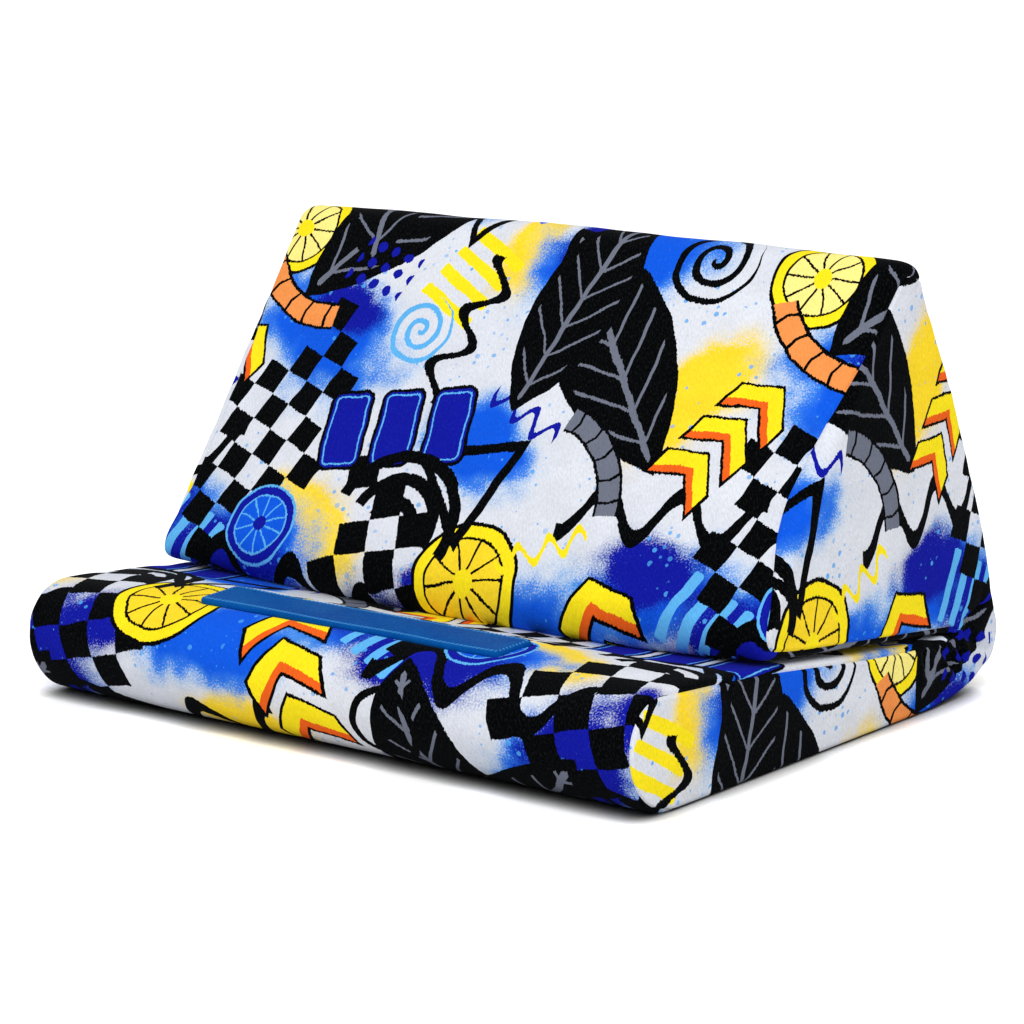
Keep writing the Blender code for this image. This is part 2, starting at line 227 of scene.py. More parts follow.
# How far the panels swell in the middle of the width, and how round that swell is
TOE_SAG = 0.0045
RIDGE_CROWN = 0.0018
LEFT_LIFT = 0.0020                  # the ridge's left end stands higher than its right one
FACE_SWELL = 0.0012
BACK_SWELL = 0.0022
TOP_CROWN = 0.0032
CROWN_CREST = -0.100
CROWN_PAST_TOE = 0.006
SLOT_AIR = 0.0003
ROUND_SLOT = 2.4                    # power of the swell across the width: rounder in the slot
ROUND_OPEN = 4.0
ROUND_EDGE = 6.0
TOE_FADE = 9                        # the toe's sag ends at one part in 9 of the face's height

slot_share = np.clip((SLOT_END[0] - outline[:, 0]) / (SLOT_END[0] - toe[0]), 0, 1)
half_gap = (SLOT_GAP + (TOE_GAP - SLOT_GAP) * slot_share) / 2 - SLOT_AIR / 2
sag = TOE_SAG * slot_share
crown = np.zeros(count)
roundness = np.full(count, ROUND_EDGE)
under = stretch == "underside"
crown[under] = (sag + half_gap)[under]
roundness[under] = ROUND_SLOT
rise = (outline[:, 1] - outline[on_face, 1].min()) / np.ptp(outline[on_face, 1])
toe_crown = TOE_SAG + TOE_GAP / 2 - SLOT_AIR / 2
ridge_share = np.where(on_face, np.clip(rise, 0, 1) ** 2, 0)
crown[on_face] = (toe_crown * np.clip(1 - TOE_FADE * rise, 0, 1) ** 1.5 + RIDGE_CROWN * ridge_share
                  + FACE_SWELL * 4 * rise * (1 - rise))[on_face]
roundness[on_face] = (ROUND_SLOT + (ROUND_OPEN - ROUND_SLOT) * np.clip(6 * rise, 0, 1))[on_face]
fall = (run[on_back] - run[on_back][0]) / np.ptp(run[on_back])
ridge_share[on_back] = 1 - fall
crown[on_back] = RIDGE_CROWN * (1 - fall) + BACK_SWELL * 4 * fall * (1 - fall)
roundness[on_back] = ROUND_OPEN
behind = np.clip((outline[:, 0] - CROWN_CREST) / (toe[0] + CROWN_PAST_TOE - CROWN_CREST), 0, 1)
before = np.clip((outline[:, 0] - top_front[0]) / (CROWN_CREST - top_front[0]), 0, 1)
ease = behind * behind * (3 - 2 * behind)
crown[on_top] = (TOP_CROWN * before ** 0.5 * (1 - ease) + (half_gap - sag) * ease)[on_top]
roundness[on_top] = (ROUND_OPEN - (ROUND_OPEN - ROUND_SLOT) * ease)[on_top]
crown = smoothed(crown, 2)
ridge_share = smoothed(ridge_share, 2)

# Rows across: from the middle to the end seam, round the edge, and a little way in on the end face
MIDDLE_STEP = 0.0072
NEAR_SEAM = [0, 0.0011, 0.0024, 0.0040, 0.0062, 0.0092, 0.0135]
ROUND_ROWS = 7
END_MARGIN = 0.0025                 # last row, past the rounded edge

inner = list(np.linspace(0, EDGE_X - NEAR_SEAM[-1], ceil((EDGE_X - NEAR_SEAM[-1]) / MIDDLE_STEP)))
shares = [x / EDGE_X for x in inner[:-1]] + [1 - d / EDGE_X for d in reversed(NEAR_SEAM)]
wrap_rows = len(shares)

# The left end of the wedge is fuller, with a sharper edge to the front face
LEFT_EDGE = 0.0035
LEFT_REACH = 0.0020


class End:
    """One end of the cover: its rounded edge, its seam, and how its rows lie."""

    def __init__(self, side):
        self.side = side
        self.flat_x = EDGE_X + (LEFT_REACH if side < 0 else 0)
        self.radius = np.minimum(edge_radius, LEFT_EDGE) if side < 0 else edge_radius
        self.seam = seam_round if side > 0 else np.maximum(seam_round, 0) * self.radius / edge_radius
        self.start = self.flat_x - self.radius
        last = self.radius * pi / 2 + END_MARGIN
        rows = [(self.start + self.seam) * share - self.start for share in shares]
        rows += [self.seam + (last - self.seam) * (k / ROUND_ROWS) for k in range(1, ROUND_ROWS + 1)]
        self.grid = np.array(rows)

    def points(self):
        """Places of the rows and columns, from the middle outwards."""
        turn = np.clip(self.grid / self.radius, 0, pi / 2)
        x = self.start + np.where(self.grid < 0, self.grid, self.radius * np.sin(turn))
        inset = self.radius * (1 - np.cos(turn)) + np.maximum(self.grid - self.radius * pi / 2, 0)
        swell = crown * (1 - np.minimum(np.abs(x) / EDGE_X, 1) ** roundness)
        swell += LEFT_LIFT * ridge_share * (1 - self.side * x / EDGE_X) / 2
        yz = outline + outward * (swell - inset)[..., None]
        return np.concatenate([(self.side * x)[..., None], yz], -1)

    def flat(self, row, column):
        """Place on the end panel of a row and column, as if its edge lay flat."""
        inset = self.grid[row, column] - self.radius[column] * pi / 2 + self.radius[column]
        y, z = outline[column] - outward[column] * inset
        return self.side * y, z


left_end, right_end = End(-1), End(1)
tube = np.concatenate([left_end.points()[:0:-1], right_end.points()])
arc = np.concatenate([-(left_end.grid + left_end.start)[:0:-1], right_end.grid + right_end.start])
past = np.concatenate([(left_end.grid - left_end.seam)[:0:-1], right_end.grid - right_end.seam])
row_count = len(tube)
middle_row = row_count // 2

cover_mesh = bmesh.new()
print_layer = cover_mesh.loops.layers.uv.new("print")
seam_layer = cover_mesh.verts.layers.float.new("seam")
cross_layer = cover_mesh.verts.layers.float.new("cross")
quiet_layer = cover_mesh.verts.layers.float.new("quiet")
verts = [[cover_mesh.verts.new(p) for p in row] for row in tube]

# Where each panel was cut from the printed cloth: the corner of the cut, and its turn in degrees
REPEAT = 0.300
cuts = {
    "front": (0.02, -0.03, 0),
    "back": (0.11, 0.07, 180),
    "floor": (0.05, 0.17, 0),
    "top": (0.13, 0.12, 0),
    "wedge_end": (0.345, 0.22, 0),
    "base_end": (0.10, 0.10, 0),
}


def printed(cut, u, v):
    """Place on the printed cloth, in repeats, of a point of a panel."""
    du, dv, turn = cuts[cut]
    c, s = cos(radians(turn)), sin(radians(turn))
    return ((u * c - v * s + du) / REPEAT, (u * s + v * c + dv) / REPEAT)


total = run[-1] + steps[-1]
toe_run = run[len(underside) + len(toe_arc) - 2]
joint_index = len(underside) + len(face) + len(back)

for r in range(row_count - 1):
    end = right_end if r >= middle_row else left_end
    inner_row = abs(r + 0.5 - middle_row) + 0.5
    for i in range(count):
        k = (i + 1) % count
        cut = "wedge_end" if i < joint_index else "base_end"
        corners = ((r, i), (r, k), (r + 1, k), (r + 1, i))
        cover_face = cover_mesh.faces.new([verts[a][b] for a, b in corners])
        for (a, b), corner in zip(corners, cover_face.loops):
            if inner_row < wrap_rows:
                here = run[b] + (total if b < i else 0)
                corner[print_layer].uv = printed(panel[i], arc[a, b], here - toe_run)
            else:
                corner[print_layer].uv = printed(cut, *end.flat(abs(a - middle_row), b))

# What the simulation and the seams need to know: the way to the nearest end seam and cross seam,
# and where the cloth lies pressed and quiet
seams_across = [run[np.argmax(panel == name)] for name in ("back", "floor", "top")] + [0, total]
pressed = under | (stretch == "floor") | (on_top & (behind > 0.5))
for r in range(row_count):
    for i in range(count):
        verts[r][i][seam_layer] = past[r, i]
        verts[r][i][cross_layer] = min(abs(run[i] - s) for s in seams_across)
        verts[r][i][quiet_layer] = float(pressed[i])

# End faces: the cloth inside the last row, with the seam that joins the wedge's and the pad's ends
END_STEP = 0.0040
END_ROW = END_STEP * 0.87           # rows of nearly equal triangles
END_SWELL = 0.0012
END_SWELL_REACH = 0.012
JOINT_DENT = 0.0022
JOINT_WIDTH = 0.0045
JOINT_FADE = 0.004                  # from the edge, over which the dent begins


def to_lines(p, a, b):
    """Distance of a point to the nearest of the lines that run from a to b."""
    ab = b - a
    t = np.clip(((p - a) * ab).sum(-1) / (ab * ab).sum(-1), 0, 1)
    return np.linalg.norm(p - a - t[..., None] * ab, axis=-1).min()


for side, row in ((-1, 0), (1, row_count - 1)):
    rim = tube[row][:, 1:]
    rim_next = np.roll(rim, -1, 0)
    back_corner = rim[joint_index:joint_index + 1]
    pieces = ceil(np.linalg.norm(back_corner[0] - rim[0]) / END_STEP)
    seam_line = [rim[0] + (back_corner[0] - rim[0]) * k / pieces for k in range(1, pieces)]
    ys = np.arange(rim[:, 0].min(), rim[:, 0].max(), END_STEP)
    zs = np.arange(rim[:, 1].min(), rim[:, 1].max(), END_ROW)
    inside = []
    for j, z in enumerate(zs):
        for y in ys + (END_STEP / 2 if j % 2 else 0):
            p = np.array([y, z])
            height = np.where(rim_next[:, 1] == rim[:, 1], 1, rim_next[:, 1] - rim[:, 1])
            crossing = rim[:, 0] + (rim_next[:, 0] - rim[:, 0]) * (z - rim[:, 1]) / height
            crossed = ((rim[:, 1] > z) != (rim_next[:, 1] > z)) & (y < crossing)
            off_seam = to_lines(p, rim[:1], back_corner)
            clear = to_lines(p, rim, rim_next) > END_STEP * 0.6 and off_seam > END_STEP * 0.55
            if crossed.sum() % 2 and clear:
                inside.append(p)
    points = [Vector(p) for p in rim] + [Vector(p) for p in seam_line] + [Vector(p) for p in inside]
    edges = [(i, (i + 1) % count) for i in range(count)]
    chain = [0] + list(range(count, count + len(seam_line))) + [joint_index]
    edges += list(zip(chain, chain[1:]))
    made, _, triangles, source, _, _ = geometry.delaunay_2d_cdt(points, edges, [], 1, 1e-7)
    corner_of = []
    for k, p in enumerate(made):
        origin = min(source[k]) if source[k] else None
        if origin is not None and origin < count:
            corner_of.append(verts[row][origin])
            continue
        q = np.array(p)
        depth = to_lines(q, rim, rim_next)
        off_joint = to_lines(q, rim[:1], back_corner)
        x = abs(tube[row][0, 0]) + END_SWELL * (1 - np.exp(-depth / END_SWELL_REACH))
        x -= JOINT_DENT * np.exp(-(off_joint / JOINT_WIDTH) ** 2) * min(1, depth / JOINT_FADE)
        v = cover_mesh.verts.new((side * x, q[0], q[1]))
        v[seam_layer] = past[0, 0] + depth
        v[cross_layer] = off_joint
        corner_of.append(v)
    for triangle in triangles:
        centre = sum((made[t] for t in triangle), Vector((0, 0))) / 3
        order = triangle if side > 0 else list(reversed(triangle))
        end_face = cover_mesh.faces.new([corner_of[t] for t in order])
        line = back_corner[0] - rim[0]
        if centre.x < rim[0][0]:
            above = centre.y > PAD_TOP + pad_fall * (centre.x - top_front[0])
        else:
            above = line[0] * (centre.y - rim[0][1]) - line[1] * (centre.x - rim[0][0]) > 0
        for t, corner in zip(order, end_face.loops):
            u, v = side * made[t].x, made[t].y
            corner[print_layer].uv = printed("wedge_end" if above else "base_end", u, v)


def placed(name, data):
    """A new object in the scene, at the origin."""
    made = bpy.data.objects.new(name, data)
    bpy.context.scene.collection.objects.link(made)
    return made


def finished(name, mesh):
    """The mesh as an object, its faces pointing outwards."""
    bmesh.ops.recalc_face_normals(mesh, faces=mesh.faces)
    data = bpy.data.meshes.new(name)
    mesh.to_mesh(data)
    mesh.free()
    return placed(name, data)


def evaluated(piece):
    """A new mesh of the piece with its modifiers applied."""
    return bpy.data.meshes.new_from_object(piece.evaluated_get(bpy.context.evaluated_depsgraph_get()))


def layer(mesh, name):
    """Values of one of the mesh's point attributes."""
    values = np.empty(len(mesh.vertices))
    mesh.attributes[name].data.foreach_get("value", values)
    return values


def places(mesh):
    """Places of the mesh's points."""
    values = np.empty(len(mesh.vertices) * 3)
    mesh.vertices.foreach_get("co", values)
    return values.reshape(-1, 3)


cover = finished("sewn_cover", cover_mesh)
cover_data = cover.data

# The foam presses the cloth out between its seams: a short simulation, its travel capped
PRESSURE = 4
TRAVEL = 0.0016
HELD_BY_SEAM = 0.030
FRAMES = 20
rest = places(cover_data)
held = cover.vertex_groups.new(name="held")
from_seam = np.minimum(np.abs(layer(cover_data, "seam")), layer(cover_data, "cross"))
grip = np.maximum(np.exp(-(from_seam / HELD_BY_SEAM) ** 2), layer(cover_data, "quiet"))
for i, weight in enumerate(grip):
    held.add([i], float(weight), "REPLACE")
sim = cover.modifiers.new("Cloth", "CLOTH")
sim.settings.vertex_group_mass = "held"
sim.settings.effector_weights.gravity = 0
sim.settings.use_pressure = True
sim.settings.uniform_pressure_force = PRESSURE
sim.collision_settings.use_collision = False
for frame_number in range(1, FRAMES + 1):
    bpy.context.scene.frame_set(frame_number)
moved = places(cover.evaluated_get(bpy.context.evaluated_depsgraph_get()).data) - rest
length = np.linalg.norm(moved, axis=1) + 1e-9
moved *= (TRAVEL * np.tanh(length / TRAVEL) / length * (1 - grip))[:, None]
cover.modifiers.remove(sim)
cover.vertex_groups.remove(held)
bpy.context.scene.frame_set(1)
cover_data.vertices.foreach_set("co", (rest + moved).ravel())
cover_data.update()

smooth = cover.modifiers.new("Smooth", "SUBSURF")
smooth.levels = smooth.render_levels = 1
fine = evaluated(cover)
cover.modifiers.remove(smooth)
cover.data = fine
bpy.data.meshes.remove(cover_data)
cover_data = fine
cover_data.name = "sewn_cover"

# Seams sunk between the panels, with puckers beside them, and pleats below the slot's inner end
GROOVE = 0.0010
GROOVE_WIDTH = 0.0010
PUCKER = 0.00045
PUCKER_SIZE = 0.0085
PUCKER_REACH = 0.0060
SLACK = ((0.00075, 0.046), (0.00028, 0.017))    # height and size of the cloth's unevenness
FLOOR_FADE = 0.010                  # height below which all that dies away
PLEATS = [                          # points of each, y and z
    ((0.1151, 0.0311), (0.1301, 0.0221), (0.1358, 0.0191)),
    ((0.1043, 0.0308), (0.1110, 0.0215), (0.1141, 0.0148)),
    ((0.0956, 0.0269), (0.1022, 0.0195), (0.1078, 0.0146)),
    ((0.0797, 0.0276), (0.0819, 0.0179)),
]
PLEAT_DEPTH = 0.0016
PLEAT_WIDTH = 0.0019
PLEAT_TOP = 0.034
PLEAT_INWARD = 0.006                # how far in from the end face the pleats start
PLEAT_START = 0.005
BESIDE = 0.0042                     # from a pleat to the ridges on both sides of it
BESIDE_WIDTH = 0.0022

at = places(cover_data)
normals = np.array([n.vector for n in cover_data.vertex_normals])
seam, cross, quiet = (layer(cover_data, name) for name in ("seam", "cross", "quiet"))
lively = np.clip(1 - quiet, 0, 1) * np.clip(at[:, 2] / FLOOR_FADE, 0, 1)


def bumps(size, squeeze=1.0, shift=0.0):
    """Smooth noise at the cover's points, from -1 to 1, drawn out across the width."""
    return np.array([smooth_noise.noise(Vector((x * squeeze + shift, y, z)) / size) for x, y, z in at])


near = np.minimum(np.abs(seam), np.where(quiet > 0.5, 1, cross))
rise = -GROOVE * np.exp(-(near / GROOVE_WIDTH) ** 2) * np.where(near == cross, lively, 1)
rise += PUCKER * bumps(PUCKER_SIZE, 0.3) * np.exp(-near / PUCKER_REACH) * lively
for height, size in SLACK:
    rise += height * bumps(size, 1, height * 900) * lively
for pleat in PLEATS:
    for start, end in zip(pleat, pleat[1:]):
        start, end = np.array(start), np.array(end)
        step = end - start
        share = ((at[:, 1:] - start) @ step) / (step @ step)
        off = np.linalg.norm(at[:, 1:] - start - np.clip(share, 0, 1)[:, None] * step, axis=1)
        on_end = np.clip((np.abs(at[:, 0]) - EDGE_X + PLEAT_INWARD) / PLEAT_START, 0, 1)
        fold = np.exp(-((off - BESIDE) / BESIDE_WIDTH) ** 2) / 2 - np.exp(-(off / PLEAT_WIDTH) ** 2)
        rise += PLEAT_DEPTH * fold * on_end * (at[:, 2] < PLEAT_TOP)
at += normals * rise[:, None]

# Where the three seams meet at the ends of the ridge, a corner of the cover stands out
CORNER = np.array([0.0620, 0.2050])
CORNER_REACH = 0.0022
CORNER_SIZE = 0.010
CORNER_FROM = 0.158
stands = np.exp(-(((at[:, 1:] - CORNER) / CORNER_SIZE) ** 2).sum(1))
stands *= np.clip((np.abs(at[:, 0]) - CORNER_FROM) / CORNER_SIZE, 0, 1)
at[:, 0] += CORNER_REACH * stands * np.sign(at[:, 0])

# The left end of the toe is less rounded than its right end
TOE_REACH = 0.0034
TOE_SIZE = 0.0085
TOE_FROM = -0.140
TOE_LENGTH = 0.030
toe_tip = np.array(toe_arc[len(toe_arc) // 2])
to_corner = (np.array(toe) - toe_tip) / np.linalg.norm(np.array(toe) - toe_tip)
stands = np.exp(-(((at[:, 1:] - toe_tip) / TOE_SIZE) ** 2).sum(1))
stands *= np.clip((TOE_FROM - at[:, 0]) / TOE_LENGTH, 0, 1)
at[:, 1:] += TOE_REACH * stands[:, None] * to_corner

# The strip is stitched on flat, so it holds the cloth below it flat as well
strip_low, strip_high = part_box("strip_cover")
STRIP_LENGTH = 0.170
STRIP_WIDTH = 0.0255
STRIP_HEIGHT = 0.0030
STITCH_INSET = 0.0018
strip_size = strip_high - strip_low
strip_tilt = atan2(STRIP_WIDTH * strip_size.z - STRIP_HEIGHT * strip_size.y,
                   STRIP_WIDTH * strip_size.y - STRIP_HEIGHT * strip_size.z)
STRIP_RISE = 0.0007                 # as the real pad is fuller below it
strip_centre = np.array((strip_low + strip_high) / 2) + np.array([0, 0, STRIP_RISE])
strip_depth = np.array([0, cos(strip_tilt), sin(strip_tilt)])
strip_up = np.array([0, -sin(strip_tilt), cos(strip_tilt)])
FALL_AWAY = 0.0040                  # past the strip, over which the cloth rises again
STRIP_AIR = 0.0001
along_depth = (at - strip_centre) @ strip_depth
over = np.maximum(np.abs(at[:, 0]) - STRIP_LENGTH / 2, np.abs(along_depth) - STRIP_WIDTH / 2) + STITCH_INSET
hold = np.clip(1 - over / FALL_AWAY, 0, 1)
hold = hold * hold * (3 - 2 * hold) * (normals[:, 2] > 0.3)
lift = (at - strip_centre) @ strip_up + STRIP_HEIGHT / 2
at -= strip_up * ((lift + STRIP_AIR) * hold)[:, None]
cover_data.vertices.foreach_set("co", at.ravel())
cover_data.update()
cover_data.shade_smooth()

# Polyester plush, knitted, sheared short and printed by heat transfer: matt, with a soft bright
# sheen at grazing angles, a fine nap, and colours whose edges the pile breaks up
MATH, VECTOR, NOISE = "ShaderNodeMath", "ShaderNodeVectorMath", "ShaderNodeTexNoise"


def add(tree, kind, *inputs, out=0, **settings):
    """Adds a node with its settings and, in order, its inputs: links, values, or None to skip one."""
    made = tree.nodes.new(kind)
    for name, value in settings.items():
        setattr(made, name, value)
    for socket, given in zip(made.inputs, inputs):
        if isinstance(given, bpy.types.NodeSocket):
            tree.links.new(given, socket)
        elif given is not None:
            socket.default_value = given
    return made.outputs[out] if len(made.outputs) else None


def emptied(holder):
    """The node tree of a material or world, with no nodes left in it."""
    holder.use_nodes = True
    holder.node_tree.nodes.clear()
    return holder.node_tree


def colour(code):
    """Linear colour of an sRGB hex code."""
    channels = [int(code[i:i + 2], 16) / 255 for i in (1, 3, 5)]
    return (*[c / 12.92 if c <= 0.04045 else ((c + 0.055) / 1.055) ** 2.4 for c in channels], 1)


GROUND, BLACK, STEEL = colour("#E4E6EC"), colour("#020304"), colour("#6F7484")
ROYAL, NAVY, SKY = colour("#0F5AE2"), colour("#10189E"), colour("#5FB4F0")
LEMON = colour("#FFE81F")
SUN, CREAM = colour("#FFDC2C"), colour("#FFF08A")
ORANGE, APRICOT = colour("#F2641E"), colour("#F5964F")
EDGE_LINE = 0.9                     # half width of the line round a motif, millimetres


def motif(name):
    """A motif's node group: a place in millimetres goes in, and fill, shade and line come out."""
    group = bpy.data.node_groups.new(name, "ShaderNodeTree")
    group.interface.new_socket("Place", in_out="INPUT", socket_type="NodeSocketVector")
    for part in ("Fill", "Shade", "Line"):
        group.interface.new_socket(part, in_out="OUTPUT", socket_type="NodeSocketFloat")
    place = add(group, "NodeGroupInput")
    return group, place


def apart(g, place):
    """A place's x and y."""
    parts = add(g, "ShaderNodeSeparateXYZ", place).node.outputs
    return parts[0], parts[1]


def checks(size, reach):
    """A patch of checks with a stepped edge."""
    g, place = motif("check_patch")
    cells = add(g, VECTOR, place, None, None, 1 / size, operation="SCALE")
    cell = add(g, VECTOR, cells, operation="FLOOR")
    odd = add(g, VECTOR, cell, (1, 1, 0), operation="DOT_PRODUCT", out=1)
    odd = add(g, MATH, add(g, MATH, odd, 2, operation="FLOORED_MODULO"), 0.5, operation="GREATER_THAN")
    far = add(g, VECTOR, add(g, VECTOR, cell, (0.5, 0.5, 0), operation="ADD"), operation="ABSOLUTE")
    far = add(g, VECTOR, far, (1, 0.62, 0), operation="DOT_PRODUCT", out=1)
    fill = add(g, MATH, odd, add(g, MATH, far, reach, operation="LESS_THAN"), operation="MULTIPLY")
    add(g, "NodeGroupOutput", fill)
    return g


def slice_disc(radius, spokes):
    """A slice of citrus fruit."""
    g, place = motif("slice_disc")
    x, y = apart(g, place)
    r = add(g, VECTOR, place, operation="LENGTH", out=1)
    turn = add(g, MATH, y, x, operation="ARCTAN2")
    spoke = add(g, MATH, add(g, MATH, turn, spokes, operation="MULTIPLY"), operation="SINE")
    spoke = add(g, MATH, add(g, MATH, spoke, r, operation="MULTIPLY"), 0, 0.55 * spokes, operation="COMPARE")
    flesh = add(g, MATH, r, radius * 0.46, radius * 0.27, operation="COMPARE")
    spoke = add(g, MATH, spoke, flesh, operation="MULTIPLY")
    rim = add(g, MATH, r, radius, EDGE_LINE, operation="COMPARE")
    pith = add(g, MATH, r, radius * 0.75, 0.6, operation="COMPARE")
    line = add(g, MATH, add(g, MATH, rim, pith, operation="MAXIMUM"), spoke, operation="MAXIMUM")
    add(g, "NodeGroupOutput", add(g, MATH, r, radius, operation="LESS_THAN"), flesh, line)
    return g


def leaf(half_length, half_width, pitch):
    """A pointed leaf, between two arcs, with a rib and slanted veins."""
    g, place = motif("leaf")
    x, y = apart(g, place)
    bow = (half_length ** 2 + half_width ** 2) / (2 * half_width)
    far = add(g, VECTOR, place, operation="ABSOLUTE")
    far = add(g, VECTOR, far, (bow - half_width, 0, 0), operation="ADD")
    off = add(g, VECTOR, far, operation="LENGTH", out=1)
    fill = add(g, MATH, off, bow, operation="LESS_THAN")
    aside = add(g, MATH, x, operation="ABSOLUTE")
    slant = add(g, MATH, aside, 1.1, operation="MULTIPLY")
    vein = add(g, MATH, y, slant, operation="SUBTRACT")
    vein = add(g, MATH, vein, pitch / 2, -pitch / 2, operation="WRAP")
    vein = add(g, MATH, vein, 0, EDGE_LINE, operation="COMPARE")
    rib = add(g, MATH, aside, 0, 1.2, operation="COMPARE")
    inside = add(g, MATH, off, bow - 4, operation="LESS_THAN")
    line = add(g, MATH, add(g, MATH, vein, rib, operation="MAXIMUM"), inside, operation="MULTIPLY")
    add(g, "NodeGroupOutput", fill, None, line)
    return g


def wavy(length, height, pitch, stroke):
    """A wavy brush stroke."""
    g, place = motif("wavy_stroke")
    x, y = apart(g, place)
    swing = add(g, MATH, add(g, MATH, x, 2 * pi / pitch, operation="MULTIPLY"), operation="SINE")
    middle = add(g, MATH, swing, height / 2, operation="MULTIPLY")
    band = add(g, MATH, y, middle, stroke / 2, operation="COMPARE")
    fill = add(g, MATH, band, add(g, MATH, x, 0, length / 2, operation="COMPARE"), operation="MULTIPLY")
    add(g, "NodeGroupOutput", fill)
    return g


def chevrons(half_width, pitch, rows):
    """Outlined chevrons one above the other, each with a shaded lower edge."""
    g, place = motif("chevrons")
    x, y = apart(g, place)
    aside = add(g, MATH, x, operation="ABSOLUTE")
    raised = add(g, MATH, aside, 0.75, y, operation="MULTIPLY_ADD")
    band = add(g, MATH, raised, pitch / 2, -pitch / 2, operation="WRAP")
    within = add(g, MATH, add(g, MATH, raised, 0, rows * pitch / 2, operation="COMPARE"),
                 add(g, MATH, aside, half_width + 1, operation="LESS_THAN"), operation="MULTIPLY")
    fill = add(g, MATH, band, 0, pitch * 0.33, operation="COMPARE")
    fill = add(g, MATH, fill, within, operation="MULTIPLY")
    shade = add(g, MATH, band, -pitch * 0.22, pitch * 0.11, operation="COMPARE")
    shade = add(g, MATH, shade, within, operation="MULTIPLY")
    edge = add(g, MATH, add(g, MATH, band, operation="ABSOLUTE"), pitch * 0.33, 1.0, operation="COMPARE")
    end = add(g, MATH, add(g, MATH, aside, half_width, 1.0, operation="COMPARE"), fill, operation="MULTIPLY")
    line = add(g, MATH, add(g, MATH, edge, within, operation="MULTIPLY"), end, operation="MAXIMUM")
    add(g, "NodeGroupOutput", fill, shade, line)
    return g


def triangle(radius, stroke):
    """A triangle's outline."""
    g, place = motif("triangle")
    sides = [add(g, VECTOR, place, (cos(radians(a)), sin(radians(a)), 0), operation="DOT_PRODUCT", out=1)
             for a in (90, 210, 330)]
    far = add(g, MATH, add(g, MATH, sides[0], sides[1], operation="MAXIMUM"), sides[2], operation="MAXIMUM")
    add(g, "NodeGroupOutput", None, None, add(g, MATH, far, radius, stroke / 2, operation="COMPARE"))
    return g


def rings(radius, stroke):
    """A ring round a dot."""
    g, place = motif("rings")
    r = add(g, VECTOR, place, operation="LENGTH", out=1)
    ring = add(g, MATH, r, radius, stroke / 2, operation="COMPARE")
    line = add(g, MATH, ring, add(g, MATH, r, radius * 0.35, operation="LESS_THAN"), operation="MAXIMUM")
    add(g, "NodeGroupOutput", None, None, line)
    return g


def dashes(name, pitch, half_width, half_length, number):
    """Rounded bars side by side, with a line round each and a thin one inside it."""
    g, place = motif(name)
    x, y = apart(g, place)
    shifted = add(g, MATH, x, (number + 1) % 2 * pitch / 2, operation="ADD")
    local = add(g, MATH, shifted, pitch / 2, -pitch / 2, operation="WRAP")
    corner = half_width * 0.45
    far = add(g, VECTOR, add(g, "ShaderNodeCombineXYZ", local, y), operation="ABSOLUTE")
    far = add(g, VECTOR, far, (half_width - corner, half_length - corner, 0), operation="SUBTRACT")
    far = add(g, VECTOR, far, (0, 0, 0), operation="MAXIMUM")
    off = add(g, VECTOR, far, operation="LENGTH", out=1)
    within = add(g, MATH, x, 0, number * pitch / 2, operation="COMPARE")
    fill = add(g, MATH, add(g, MATH, off, corner, operation="LESS_THAN"), within, operation="MULTIPLY")
    edge = add(g, MATH, off, corner, EDGE_LINE, operation="COMPARE")
    edge = add(g, MATH, edge, within, operation="MULTIPLY")
    inner = add(g, MATH, off, corner - 2.6, EDGE_LINE / 2, operation="COMPARE")
    inner = add(g, MATH, inner, within, operation="MULTIPLY")
    add(g, "NodeGroupOutput", fill, inner, edge)
    return g


def spiral(radius, pitch):
    """A spiral line."""
    g, place = motif("spiral")
    x, y = apart(g, place)
    r = add(g, VECTOR, place, operation="LENGTH", out=1)
    turn = add(g, MATH, add(g, MATH, y, x, operation="ARCTAN2"), 2 * pi, operation="DIVIDE")
    coil = add(g, MATH, add(g, MATH, r, pitch, operation="DIVIDE"), turn, operation="SUBTRACT")
    band = add(g, MATH, add(g, MATH, coil, operation="FRACT"), 0.5, 0.19, operation="COMPARE")
    within = add(g, MATH, r, radius, operation="LESS_THAN")
    add(g, "NodeGroupOutput", None, None, add(g, MATH, band, within, operation="MULTIPLY"))
    return g


def arc_band(radius, half_width, half_turn, rungs):
    """A bent band, outlined and crossed by lines."""
    g, place = motif("arc_band")
    centred = add(g, VECTOR, place, (0, radius, 0), operation="ADD")
    r = add(g, VECTOR, centred, operation="LENGTH", out=1)
    turn = add(g, MATH, *apart(g, centred), operation="ARCTAN2")
    within = add(g, MATH, turn, 0, half_turn, operation="COMPARE")
    fill = add(g, MATH, r, radius, half_width, operation="COMPARE")
    fill = add(g, MATH, fill, within, operation="MULTIPLY")
    off = add(g, MATH, add(g, MATH, r, radius, operation="SUBTRACT"), operation="ABSOLUTE")
    edge = add(g, MATH, off, half_width, EDGE_LINE, operation="COMPARE")
    edge = add(g, MATH, edge, within, operation="MULTIPLY")
    step = half_turn / rungs
    rung = add(g, MATH, off, 0.004, turn, operation="MULTIPLY_ADD")
    rung = add(g, MATH, rung, step, -step, operation="WRAP")
    rung = add(g, MATH, rung, 0, EDGE_LINE / radius, operation="COMPARE")
    rung = add(g, MATH, rung, fill, operation="MULTIPLY")
    add(g, "NodeGroupOutput", fill, None, add(g, MATH, edge, rung, operation="MAXIMUM"))
    return g


